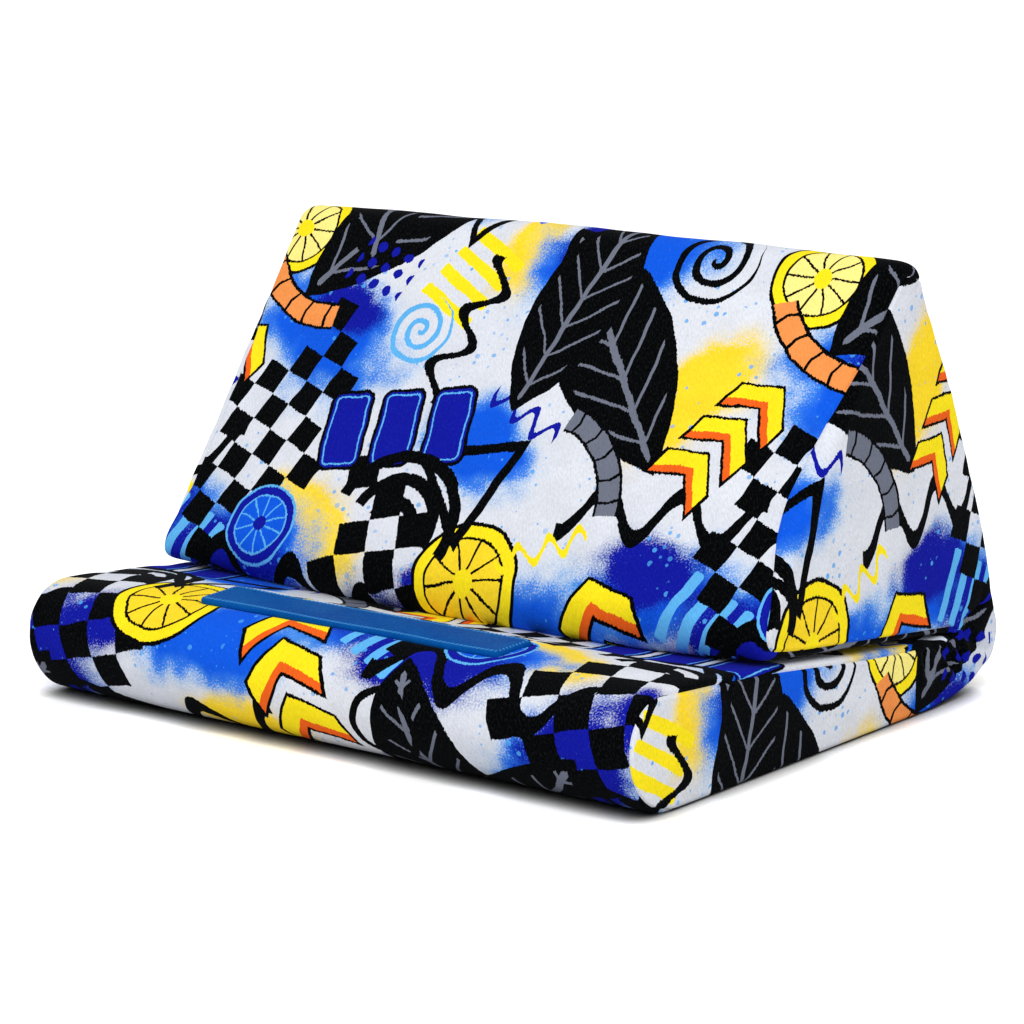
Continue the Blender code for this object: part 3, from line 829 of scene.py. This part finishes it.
def arches(pitch, stroke, number):
    """Arches, one inside the other."""
    g, place = motif("arches")
    x, y = apart(g, place)
    r = add(g, VECTOR, place, operation="LENGTH", out=1)
    band = add(g, MATH, r, pitch / 2, -pitch / 2, operation="WRAP")
    band = add(g, MATH, band, 0, stroke / 2, operation="COMPARE")
    within = add(g, MATH, r, (number / 2 + 0.5) * pitch, number / 2 * pitch, operation="COMPARE")
    above = add(g, MATH, y, 0, operation="GREATER_THAN")
    line = add(g, MATH, add(g, MATH, band, within, operation="MULTIPLY"), above, operation="MULTIPLY")
    add(g, "NodeGroupOutput", None, None, line)
    return g


def dots(pitch, radius, wide, high):
    """A block of dots in rows."""
    g, place = motif("dot_block")
    x, y = apart(g, place)
    half = pitch / 2
    local = add(g, VECTOR, place, (half, half, 1), (-half, -half, -1), operation="WRAP")
    flat = add(g, "ShaderNodeCombineXYZ", *apart(g, local))
    dot = add(g, MATH, add(g, VECTOR, flat, operation="LENGTH", out=1), radius, operation="LESS_THAN")
    across_x = add(g, MATH, x, 0, wide * half, operation="COMPARE")
    across_y = add(g, MATH, y, 0, high * half, operation="COMPARE")
    within = add(g, MATH, across_x, across_y, operation="MULTIPLY")
    add(g, "NodeGroupOutput", add(g, MATH, dot, within, operation="MULTIPLY"))
    return g


# The motifs' sizes, in millimetres
CHECKS = checks(17, 3.3)
SLICE = slice_disc(26, 5)
LEAF = leaf(58, 23, 15)
WAVE = wavy(104, 22, 40, 9)
RIPPLE = wavy(52, 12, 17, 5)
CHEVRONS = chevrons(21, 27, 3)
TRIANGLE = triangle(13, 4.2)
RINGS = rings(19, 4.2)
SLABS = dashes("slabs", 31, 12.5, 21, 3)
TICKS = dashes("ticks", 12, 3.1, 19, 4)
SPIRAL = spiral(23, 9.5)
BAND = arc_band(62, 7, 0.62, 5)
ARCHES = arches(13, 7, 3)
DOTS = dots(12, 3.4, 4, 3)

# Airbrushed clouds: colour, place in the repeat, half length and half width in millimetres, turn
clouds = [
    (SUN, 0.38, 0.24, 52, 26, 50), (SUN, 0.78, 0.95, 46, 24, -30), (SUN, 0.29, 0.70, 42, 24, 0),
    (SUN, 0.99, 0.46, 36, 22, 80), (SUN, 0.57, 0.57, 34, 20, 30), (ROYAL, 0.17, 0.47, 70, 44, 20),
    (ROYAL, 0.66, 0.28, 66, 42, -30), (ROYAL, 0.86, 0.68, 72, 44, 60), (ROYAL, 0.44, 0.93, 60, 32, 10),
    (ROYAL, 0.04, 0.12, 44, 30, -20), (ROYAL, 0.24, 0.84, 60, 34, 0), (ROYAL, 0.66, 0.90, 60, 32, 10),
    (NAVY, 0.61, 0.87, 56, 28, 0), (NAVY, 0.12, 0.51, 34, 20, 35), (NAVY, 0.68, 0.33, 30, 16, -20),
    (NAVY, 0.90, 0.74, 50, 34, 70), (NAVY, 0.05, 0.86, 44, 26, 30), (NAVY, 0.42, 0.96, 40, 22, 0),
]

# Motifs, those on top last: group, place in the repeat, turn, size, and colours of fill, shade, line
motifs = [
    (RIPPLE, 0.43, 0.60, 20, 1.0, LEMON, None, None), (TICKS, 0.90, 0.40, 62, 1.0, LEMON, None, None),
    (RIPPLE, 0.10, 0.18, -25, 0.9, NAVY, None, None), (TICKS, 0.53, 0.90, -24, 0.9, SKY, None, None),
    (CHECKS, 0.93, 0.81, 14, 1.0, BLACK, None, None), (CHECKS, 0.62, 0.10, -20, 0.85, BLACK, None, None),
    (SLICE, 0.10, 0.90, 10, 1.1, LEMON, SUN, BLACK), (SLICE, 0.52, 0.46, 0, 0.95, LEMON, CREAM, BLACK),
    (LEAF, 0.74, 0.55, -38, 1.4, BLACK, None, STEEL), (LEAF, 0.64, 0.63, 12, 1.25, BLACK, None, STEEL),
    (LEAF, 0.21, 0.31, 38, 1.3, BLACK, None, STEEL), (LEAF, 0.12, 0.38, -14, 1.05, BLACK, None, STEEL),
    (TRIANGLE, 0.99, 0.65, -20, 1.1, None, None, BLACK), (RIPPLE, 0.03, 0.55, 14, 0.9, ROYAL, None, None),
    (WAVE, 0.16, 0.66, 14, 1.2, BLACK, None, None), (WAVE, 0.72, 0.85, -8, 1.1, BLACK, None, None),
    (WAVE, 0.40, 0.05, 4, 1.0, BLACK, None, None), (WAVE, 0.93, 0.31, 76, 0.75, BLACK, None, None),
    (CHEVRONS, 0.37, 0.83, 24, 1.0, LEMON, ORANGE, BLACK),
    (CHEVRONS, 0.47, 0.20, -34, 0.8, LEMON, ORANGE, BLACK),
    (TRIANGLE, 0.04, 0.06, 12, 1.2, None, None, BLACK), (TRIANGLE, 0.88, 0.54, -8, 0.9, None, None, BLACK),
    (SLICE, 0.68, 0.94, 20, 0.75, NAVY, ROYAL, SKY), (RIPPLE, 0.22, 0.97, 24, 0.9, LEMON, None, None),
    (RINGS, 0.57, 0.75, 0, 0.9, None, None, BLACK), (SLABS, 0.87, 0.13, 9, 0.95, NAVY, SKY, BLACK),
    (SPIRAL, 0.33, 0.47, 0, 1.0, None, None, BLACK), (SPIRAL, 0.84, 0.30, 40, 0.8, None, None, SKY),
    (BAND, 0.55, 0.33, 150, 0.9, APRICOT, None, BLACK), (BAND, 0.27, 0.13, -50, 0.8, STEEL, None, BLACK),
    (ARCHES, 0.93, 0.97, -20, 0.9, None, None, BLACK), (DOTS, 0.35, 0.62, 20, 0.9, BLACK, None, None),
    (DOTS, 0.72, 0.40, -15, 0.8, NAVY, None, None),
]

WOBBLE = 1.1                        # of a drawn line, millimetres
WOBBLE_SIZE = 14
PILE_BREAK = (0.2, 0.75, 0)         # of an edge by the pile, across the cloth and along it
PILE_SIZE = 0.8
PILE_LENGTH = 2.4                   # how much longer than wide the pile's marks are
PILE_LEAN = 24                      # degrees, of its lie on the cloth
OVERSPRAY = 0.9                     # size of the droplets at a cloud's edge, millimetres
DRIFT = 26
SPECK_SPACING = 4.6
SPECK_DRIFT = 38

plush = bpy.data.materials.new("printed_polyester_plush")
t = emptied(plush)
cloth_place = add(t, "ShaderNodeUVMap", uv_map="print")
millimetres = add(t, VECTOR, cloth_place, None, None, REPEAT * 1000, operation="SCALE")


def turned(place, turn, wide, high):
    """The place turned back by an angle in degrees, and divided by a width and a height."""
    c, s = cos(radians(turn)), sin(radians(turn))
    across = add(t, VECTOR, place, (c / wide, s / wide, 0), operation="DOT_PRODUCT", out=1)
    up = add(t, VECTOR, place, (-s / high, c / high, 0), operation="DOT_PRODUCT", out=1)
    return add(t, "ShaderNodeCombineXYZ", across, up)


wobble = add(t, NOISE, millimetres, None, 1 / WOBBLE_SIZE, 1, noise_dimensions="2D", out=1)
wobble = add(t, VECTOR, wobble, (-0.5, -0.5, -0.5), operation="ADD")
pile_lie = turned(millimetres, PILE_LEAN, 1, PILE_LENGTH)
broken = add(t, NOISE, pile_lie, None, 1 / PILE_SIZE, 1, noise_dimensions="2D")
broken = add(t, MATH, broken, 2, -1, operation="MULTIPLY_ADD")
broken = add(t, VECTOR, PILE_BREAK, None, None, broken, operation="SCALE")
drawn = add(t, VECTOR, wobble, None, None, 2 * WOBBLE, operation="SCALE")
drawn = add(t, VECTOR, broken, drawn, operation="ADD")
drawn = add(t, VECTOR, drawn, None, None, 0.001 / REPEAT, operation="SCALE")
drawn = add(t, VECTOR, drawn, cloth_place, operation="ADD")


def local(u, v, turn, wide, high):
    """Place relative to a motif, in the nearest repeat, with its size taken out."""
    moved = add(t, VECTOR, drawn, (u, v, 0), operation="SUBTRACT")
    moved = add(t, VECTOR, moved, (0.5, 0.5, 0.5), (-0.5, -0.5, -0.5), operation="WRAP")
    return turned(moved, turn, wide * 0.001 / REPEAT, high * 0.001 / REPEAT)


speckle = add(t, NOISE, millimetres, None, 1 / OVERSPRAY, 1, 0.6, noise_dimensions="2D")
drift = add(t, NOISE, millimetres, None, 1 / DRIFT, 2, 0.6, noise_dimensions="2D")
droplets = add(t, MATH, speckle, 1.5, -0.75, operation="MULTIPLY_ADD")
unbleached = add(t, NOISE, millimetres, None, 1 / 90, 2, noise_dimensions="2D")
paint = add(t, "ShaderNodeMix", unbleached, None, None, None, None, None, GROUND, colour("#D5DAE6"),
            data_type="RGBA", out=2)
for tone, u, v, long, wide, turn in clouds:
    off = add(t, VECTOR, local(u, v, turn, long, wide), operation="LENGTH", out=1)
    off = add(t, MATH, drift, 0.7, off, operation="MULTIPLY_ADD")
    soft = add(t, "ShaderNodeMapRange", off, 1.5, 0.75, 0, 1, interpolation_type="SMOOTHSTEP")
    sprayed = add(t, MATH, add(t, MATH, droplets, soft, operation="ADD"), soft, operation="MULTIPLY")
    sprayed = add(t, MATH, sprayed, 1.7, operation="MULTIPLY", use_clamp=True)
    if tone == ROYAL:               # thins out to a lighter blue
        core = add(t, MATH, soft, 1.6, operation="POWER")
        tone = add(t, "ShaderNodeMix", core, None, None, None, None, None, SKY, ROYAL,
                   data_type="RGBA", out=2)
    paint = add(t, "ShaderNodeMix", sprayed, None, None, None, None, None, paint, tone,
                data_type="RGBA", out=2)

# Spatter: dots of thin light blue paint, in drifts
cells = add(t, "ShaderNodeTexVoronoi", millimetres, None, 1 / SPECK_SPACING, voronoi_dimensions="2D")
cells = cells.node.outputs
chance = add(t, "ShaderNodeSeparateColor", cells["Color"]).node.outputs
size = add(t, MATH, chance[0], 4, operation="POWER")
flicked = add(t, NOISE, millimetres, None, 1 / SPECK_DRIFT, 1, noise_dimensions="2D")
size = add(t, MATH, size, add(t, MATH, flicked, 0.49, operation="GREATER_THAN"), operation="MULTIPLY")
size = add(t, MATH, size, 0.30, operation="MULTIPLY")
speck = add(t, MATH, cells["Distance"], size, operation="LESS_THAN")
strength = add(t, MATH, chance[1], 0.5, 0.4, operation="MULTIPLY_ADD")
speck = add(t, MATH, speck, strength, operation="MULTIPLY")
paint = add(t, "ShaderNodeMix", speck, None, None, None, None, None, paint, colour("#4FA6EE"),
            data_type="RGBA", out=2)

for group, u, v, turn, size, *tones in motifs:
    drawn_motif = t.nodes.new("ShaderNodeGroup")
    drawn_motif.node_tree = group
    t.links.new(local(u, v, turn, size, size), drawn_motif.inputs[0])
    for part, tone in zip(drawn_motif.outputs, tones):
        if tone:
            paint = add(t, "ShaderNodeMix", part, None, None, None, None, None, paint, tone,
                        data_type="RGBA", out=2)

# Pile: each tuft leans its own way, so colour and surface are finely uneven, and the fibres' ends get a
# painted sheen
TUFT = 0.9                          # millimetres, drawn coarser than the real 0.3 so that it shows
TIP_SIZE = 0.7
PAINTED_TIP_SHEEN = 0.007                   # painted sheen of the fibres' ends, which lightens the darks
BRUSH_MARKS = 18
tufts = add(t, NOISE, pile_lie, None, 1 / TUFT, 2, 0.6, noise_dimensions="2D")
brush_marks = add(t, NOISE, millimetres, None, 1 / BRUSH_MARKS, 3, 0.6, noise_dimensions="2D")
shade = add(t, "ShaderNodeMapRange", tufts, 0.3, 0.7, 0.91, 1.05)
brushed = add(t, "ShaderNodeMapRange", brush_marks, 0.3, 0.7, 0.95, 1.03)
shade = add(t, MATH, shade, brushed, operation="MULTIPLY")
paint = add(t, VECTOR, paint, None, None, shade, operation="SCALE")
# Painted sheen: fine noise lightens the colour a little, as light catching the fibres' ends would, most
# visibly on the darks
painted_tip_sheen = add(t, NOISE, pile_lie, None, 1 / TIP_SIZE, 1, noise_dimensions="2D")
painted_tip_sheen = add(t, "ShaderNodeMapRange", painted_tip_sheen, 0.5, 0.8, 0, PAINTED_TIP_SHEEN)
paint = add(t, VECTOR, paint, painted_tip_sheen, operation="ADD")
relief = add(t, MATH, brush_marks, 0.6, tufts, operation="MULTIPLY_ADD")
bump = add(t, "ShaderNodeBump", 0.35, 0.0008, None, relief)
shader = t.nodes.new("ShaderNodeBsdfPrincipled")
t.links.new(paint, shader.inputs["Base Color"])
t.links.new(bump, shader.inputs["Normal"])
shader.inputs["Roughness"].default_value = 0.95
shader.inputs["Specular IOR Level"].default_value = 0.02
shader.inputs["Sheen Weight"].default_value = 0.015
shader.inputs["Sheen Roughness"].default_value = 0.45
shader.inputs["Sheen Tint"].default_value = (0.85, 0.9, 1, 1)
add(t, "ShaderNodeOutputMaterial", shader.outputs[0])
cover_data.materials.append(plush)
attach(cover, "root")
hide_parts("wedge_front_panel", "back_panel", "base_top_panel", "underside_panel",
            "wedge_end_left", "wedge_end_right", "base_end_left", "base_end_right",
            "wedge_foam_core", "base_foam_core")


# Leatherette strip
# The real one is polyurethane leatherette folded round a stiff board, and sewn to the cover with
# one row of lockstitch all round, near its edge. Its top is bare.
STRIP_CORNER = 0.0030
UPPER_ROLL = 0.0011
LOWER_ROLL = 0.0006
CUSHION = 0.0004                    # rise of the top inside the stitching
STITCH_DENT = 0.00035
STITCH_DENT_WIDTH = 0.0006
CUSHION_REACH = 0.004
RIPPLE_HEIGHT = 0.00012
RIPPLE_SIZE = 0.016
SEWN_OFF = 0.0005                   # the most that it strays, sideways and upwards
EDGE_LINES = [0, 0.00012, 0.00034, 0.0007, 0.0011, 0.0015, 0.0018, 0.0021, 0.0025, 0.0031, 0.0040]


def lines(half, number):
    """Places of the grid's lines from -half to half, close together near both."""
    outer = [half - d for d in reversed(EDGE_LINES)]
    upper = list(np.linspace(0, half - EDGE_LINES[-1] - 0.0015, number)) + outer
    return [-place for place in upper[:0:-1]] + upper


def strip_top(inset, s=0.0, t=0.0):
    """Height of the strip's top over its middle plane, at a distance from its edge."""
    roll = 1 - min(inset / UPPER_ROLL, 1)
    ripple = RIPPLE_HEIGHT * smooth_noise.noise(Vector((s, t, 0)) / RIPPLE_SIZE) * (1 - roll)
    dent = STITCH_DENT * np.exp(-((inset - STITCH_INSET) / STITCH_DENT_WIDTH) ** 2)
    cushion = CUSHION * (1 - np.exp(-inset / CUSHION_REACH))
    return STRIP_HEIGHT / 2 * sqrt(1 - roll * roll) + cushion - dent + ripple


def on_strip(s, t, up):
    """Place in the scene of a place on the strip, measured from its middle, as unevenly as it was sewn."""
    t += SEWN_OFF * smooth_noise.noise(Vector((s / 0.035, 0.5 + np.sign(t), 0)))
    up += SEWN_OFF * smooth_noise.noise(Vector((s / 0.042, 4.5, t / 0.030)))
    return Vector(strip_centre + np.array([s, 0, 0]) + strip_depth * t + strip_up * up)


strip_mesh = bmesh.new()
lengths, depths = lines(STRIP_LENGTH / 2, 26), lines(STRIP_WIDTH / 2, 4)
tops, bottoms = {}, {}
for i, s0 in enumerate(lengths):
    for j, t0 in enumerate(depths):
        past_s = abs(s0) - STRIP_LENGTH / 2 + STRIP_CORNER
        past_t = abs(t0) - STRIP_WIDTH / 2 + STRIP_CORNER
        most = max(past_s, past_t)
        s1, t1 = s0, t0
        if past_s > 0 and past_t > 0:
            pull = 1 - most / hypot(past_s, past_t)
            s1 -= past_s * pull * np.sign(s0)
            t1 -= past_t * pull * np.sign(t0)
        inset = STRIP_CORNER - most
        tops[i, j] = strip_mesh.verts.new(on_strip(s1, t1, strip_top(inset, s1, t1)))
        if inset < 1e-9:
            bottoms[i, j] = tops[i, j]
            continue
        roll = 1 - min(inset / LOWER_ROLL, 1)
        bottoms[i, j] = strip_mesh.verts.new(on_strip(s1, t1, -STRIP_HEIGHT / 2 * sqrt(1 - roll * roll)))
for i in range(len(lengths) - 1):
    for j in range(len(depths) - 1):
        ring = ((i, j), (i + 1, j), (i + 1, j + 1), (i, j + 1))
        strip_mesh.faces.new([tops[corner] for corner in ring])
        strip_mesh.faces.new([bottoms[corner] for corner in reversed(ring)])
strip = finished("leatherette_strip", strip_mesh)
strip.data.shade_smooth()

# Polyurethane leatherette: embossed with a fine pebble grain, satin
GRAIN = 0.00075
CLOUDING = 0.022                    # size of its faint changes of tone
leatherette = bpy.data.materials.new("blue_pu_leatherette")
t = emptied(leatherette)
spot = add(t, "ShaderNodeTexCoord", out=3)
pebbles = add(t, "ShaderNodeTexVoronoi", spot, None, 1 / GRAIN, feature="F1")
warp = add(t, NOISE, spot, None, 1 / (GRAIN * 2.2), 3, 0.6)
clouded = add(t, NOISE, spot, None, 1 / CLOUDING, 3, 0.55)
relief = add(t, MATH, pebbles, 0.7, warp, operation="MULTIPLY_ADD")
tone = add(t, "ShaderNodeMapRange", clouded, 0.3, 0.7, 0, 1)
paint = add(t, "ShaderNodeMix", tone, None, None, None, None, None, colour("#004A98"), colour("#0456A2"),
            data_type="RGBA", out=2)
# Painted shade: the colour is darkened in the grain's hollows and lightened a little on its crowns, as light
# would fall on them
painted_grain_shade = add(t, "ShaderNodeMapRange", relief, 0.45, 1.05, 1.08, 0.86)
paint = add(t, VECTOR, paint, None, None, painted_grain_shade, operation="SCALE")
shader = t.nodes.new("ShaderNodeBsdfPrincipled")
t.links.new(paint, shader.inputs["Base Color"])
t.links.new(add(t, "ShaderNodeMapRange", warp, 0.3, 0.7, 0.42, 0.56), shader.inputs["Roughness"])
t.links.new(add(t, "ShaderNodeBump", 0.5, 0.00012, None, add(t, MATH, 1, relief, operation="SUBTRACT")),
            shader.inputs["Normal"])
shader.inputs["Specular IOR Level"].default_value = 0.02
add(t, "ShaderNodeOutputMaterial", shader.outputs[0])
strip.data.materials.append(leatherette)
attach(strip, "root")
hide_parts("strip_cover", "strip_padding")


# Stitches
# The lockstitch that holds the strip is bonded polyester thread, a lighter blue than the strip.
# One slanted lozenge shows where each stitch lies, and each leans a little its own way.
PLY = 0.0004
thread = bpy.data.materials.new("bonded_polyester_thread")
t = emptied(thread)
spot = add(t, "ShaderNodeTexCoord", out=3)
plies = add(t, NOISE, spot, None, 1 / PLY, 2)
paint = add(t, "ShaderNodeMix", plies, None, None, None, None, None, colour("#1A6AB4"), colour("#4E98D2"),
            data_type="RGBA", out=2)
shader = t.nodes.new("ShaderNodeBsdfPrincipled")
t.links.new(paint, shader.inputs["Base Color"])
t.links.new(add(t, "ShaderNodeBump", 0.4, 0.0001, None, plies), shader.inputs["Normal"])
shader.inputs["Roughness"].default_value = 0.8
shader.inputs["Specular IOR Level"].default_value = 0.03
add(t, "ShaderNodeOutputMaterial", shader.outputs[0])

stitching = bpy.data.node_groups.new("stitches_along_path", "GeometryNodeTree")
stitching.interface.new_socket("Path", in_out="INPUT", socket_type="NodeSocketGeometry")
for label in ("Pitch", "Length", "Width", "Height", "Slant", "Unevenness"):
    stitching.interface.new_socket(label, in_out="INPUT", socket_type="NodeSocketFloat")
stitching.interface.new_socket("Thread", in_out="INPUT", socket_type="NodeSocketMaterial")
stitching.interface.new_socket("Stitches", in_out="OUTPUT", socket_type="NodeSocketGeometry")
given = stitching.nodes.new("NodeGroupInput").outputs
path = add(stitching, "GeometryNodeMeshToCurve", given["Path"])
path = add(stitching, "GeometryNodeResampleCurve", path, None, None, given["Pitch"], mode="LENGTH")
ball = add(stitching, "GeometryNodeMeshUVSphere", 8, 6, 0.5)
size = add(stitching, "ShaderNodeCombineXYZ", given["Length"], given["Width"], given["Height"])
tangent = add(stitching, "GeometryNodeInputTangent")
lie = add(stitching, "FunctionNodeAlignRotationToVector", None, None, tangent, axis="X", pivot_axis="Z")
spread = stitching.nodes.new("FunctionNodeRandomValue")
spread.data_type = "FLOAT"
for socket in spread.inputs:
    if socket.enabled and socket.name == "Min":
        stitching.links.new(add(stitching, MATH, given["Unevenness"], -1, operation="MULTIPLY"), socket)
    elif socket.enabled and socket.name == "Max":
        stitching.links.new(given["Unevenness"], socket)
    elif socket.name == "Seed":
        socket.default_value = 7
uneven = next(socket for socket in spread.outputs if socket.enabled)
slant = add(stitching, MATH, given["Slant"], uneven, operation="ADD")
slant = add(stitching, "FunctionNodeAxisAngleToRotation", (0, 0, 1), slant)
lie = add(stitching, "FunctionNodeRotateRotation", lie, slant, rotation_space="LOCAL")
row = add(stitching, "GeometryNodeInstanceOnPoints", path, None, ball, None, None, lie, size)
row = add(stitching, "GeometryNodeRealizeInstances", row)
row = add(stitching, "GeometryNodeSetShadeSmooth", row)
add(stitching, "NodeGroupOutput", add(stitching, "GeometryNodeSetMaterial", row, None, given["Thread"]))

STITCH_BEND = STRIP_CORNER - STITCH_INSET
bend_s = STRIP_LENGTH / 2 - STRIP_CORNER
bend_t = STRIP_WIDTH / 2 - STRIP_CORNER
path_data = bpy.data.meshes.new("stitch_path")
way = []
for corner_s, corner_t, first in ((1, 1, 0), (-1, 1, 90), (-1, -1, 180), (1, -1, 270)):
    for turn in (0, 30, 60, 90):
        angle = radians(first + turn)
        s = corner_s * bend_s + STITCH_BEND * cos(angle)
        way.append((s, corner_t * bend_t + STITCH_BEND * sin(angle), 0))
path_data.from_pydata(way, [(i, (i + 1) % len(way)) for i in range(len(way))], [])
stitches = placed("strip_stitches", path_data)
modifier = stitches.modifiers.new("Stitches", "NODES")
modifier.node_group = stitching
sizes = {"Pitch": 0.0023, "Length": 0.0025, "Width": 0.0010, "Height": 0.0009, "Slant": 0.90,
         "Unevenness": 0.09, "Thread": thread}
for item in stitching.interface.items_tree:
    if item.name in sizes:
        modifier[item.identifier] = sizes[item.name]
stitches_data = evaluated(stitches)
stitches.modifiers.remove(modifier)
stitches.data = stitches_data
bpy.data.meshes.remove(path_data)
thread_up = strip_top(STITCH_INSET) + sizes["Height"] * 0.2
for vertex in stitches_data.vertices:
    vertex.co = on_strip(vertex.co.x, vertex.co.y, thread_up + vertex.co.z)
stitches_data.name = "strip_stitches"
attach(stitches, "root")


# Floor, light and camera
# The floor is white studio paper, which the camera sees a little overexposed, as in a product
# photograph, and which a painted contact shadow darkens near the stand. The light is a pale sky all round
# and one softbox from the front right.
PAINTED_SHADOW_REACH = 0.010                     # how near the stand the painted contact shadow darkens the paper
floor_mesh = bmesh.new()
bmesh.ops.create_grid(floor_mesh, x_segments=1, y_segments=1, size=6)
studio_floor = finished("studio_floor", floor_mesh)
floor_paint = bpy.data.materials.new("white_studio_paper")
t = emptied(floor_paint)
seen = add(t, "ShaderNodeLightPath")
paper = add(t, "ShaderNodeMix", seen, None, None, None, None, None, (0.85, 0.85, 0.85, 1),
            (1.45, 1.45, 1.45, 1), data_type="RGBA", out=2)
# Painted contact shadow: ambient occlusion darkens the paper's colour near the stand
painted_contact_shadow = add(t, "ShaderNodeAmbientOcclusion", (1, 1, 1, 1), PAINTED_SHADOW_REACH, out=1, samples=3)
painted_contact_shadow = add(t, MATH, painted_contact_shadow, 1.4, operation="POWER")
paper = add(t, VECTOR, paper, None, None, painted_contact_shadow, operation="SCALE")
add(t, "ShaderNodeOutputMaterial", add(t, "ShaderNodeBsdfDiffuse", paper))
studio_floor.data.materials.append(floor_paint)

world = bpy.data.worlds.new("studio")
bpy.context.scene.world = world
t = emptied(world)
rays = add(t, "ShaderNodeLightPath").node.outputs
direct = add(t, MATH, rays["Is Camera Ray"], rays["Is Glossy Ray"], operation="MAXIMUM")
direct = add(t, MATH, direct, rays["Is Transmission Ray"], operation="MAXIMUM")
sky = add(t, "ShaderNodeBackground", (1, 1, 1, 1), 0.82)
white = add(t, "ShaderNodeBackground", (1, 1, 1, 1), 1)
add(t, "ShaderNodeOutputWorld", add(t, "ShaderNodeMixShader", direct, sky, white))

AZIMUTH = radians(37.93)
ELEVATION = radians(11.0)
DISTANCE = 1.55
TARGET = Vector((0, -0.0145, 0.1))
FOCAL_PIXELS = 3400
SHIFT_PIXELS = (-13.5, -27.4)
FRAME_PIXELS = 1024
SENSOR = 36

lens = bpy.data.cameras.new("camera")
lens.sensor_width = SENSOR
lens.lens = SENSOR * FOCAL_PIXELS / FRAME_PIXELS
lens.shift_x = -SHIFT_PIXELS[0] / FRAME_PIXELS
lens.shift_y = SHIFT_PIXELS[1] / FRAME_PIXELS
lens.clip_start = 0.05
lens.clip_end = 50
camera = placed("camera", lens)
back_of_view = Vector((sin(AZIMUTH) * cos(ELEVATION), -cos(AZIMUTH) * cos(ELEVATION), sin(ELEVATION)))
camera.location = TARGET + back_of_view * DISTANCE
camera.rotation_euler = (-back_of_view).to_track_quat("-Z", "Y").to_euler()
bpy.context.scene.camera = camera

lamp = bpy.data.lights.new("softbox", "AREA")
lamp.energy = 15
lamp.size = 1.2
softbox = placed("softbox", lamp)
softbox.location = (0.8, -1.2, 1.5)
softbox.rotation_euler = (Vector((0, 0, 0.1)) - softbox.location).to_track_quat("-Z", "Y").to_euler()

bpy.context.scene.view_settings.view_transform = "Standard"
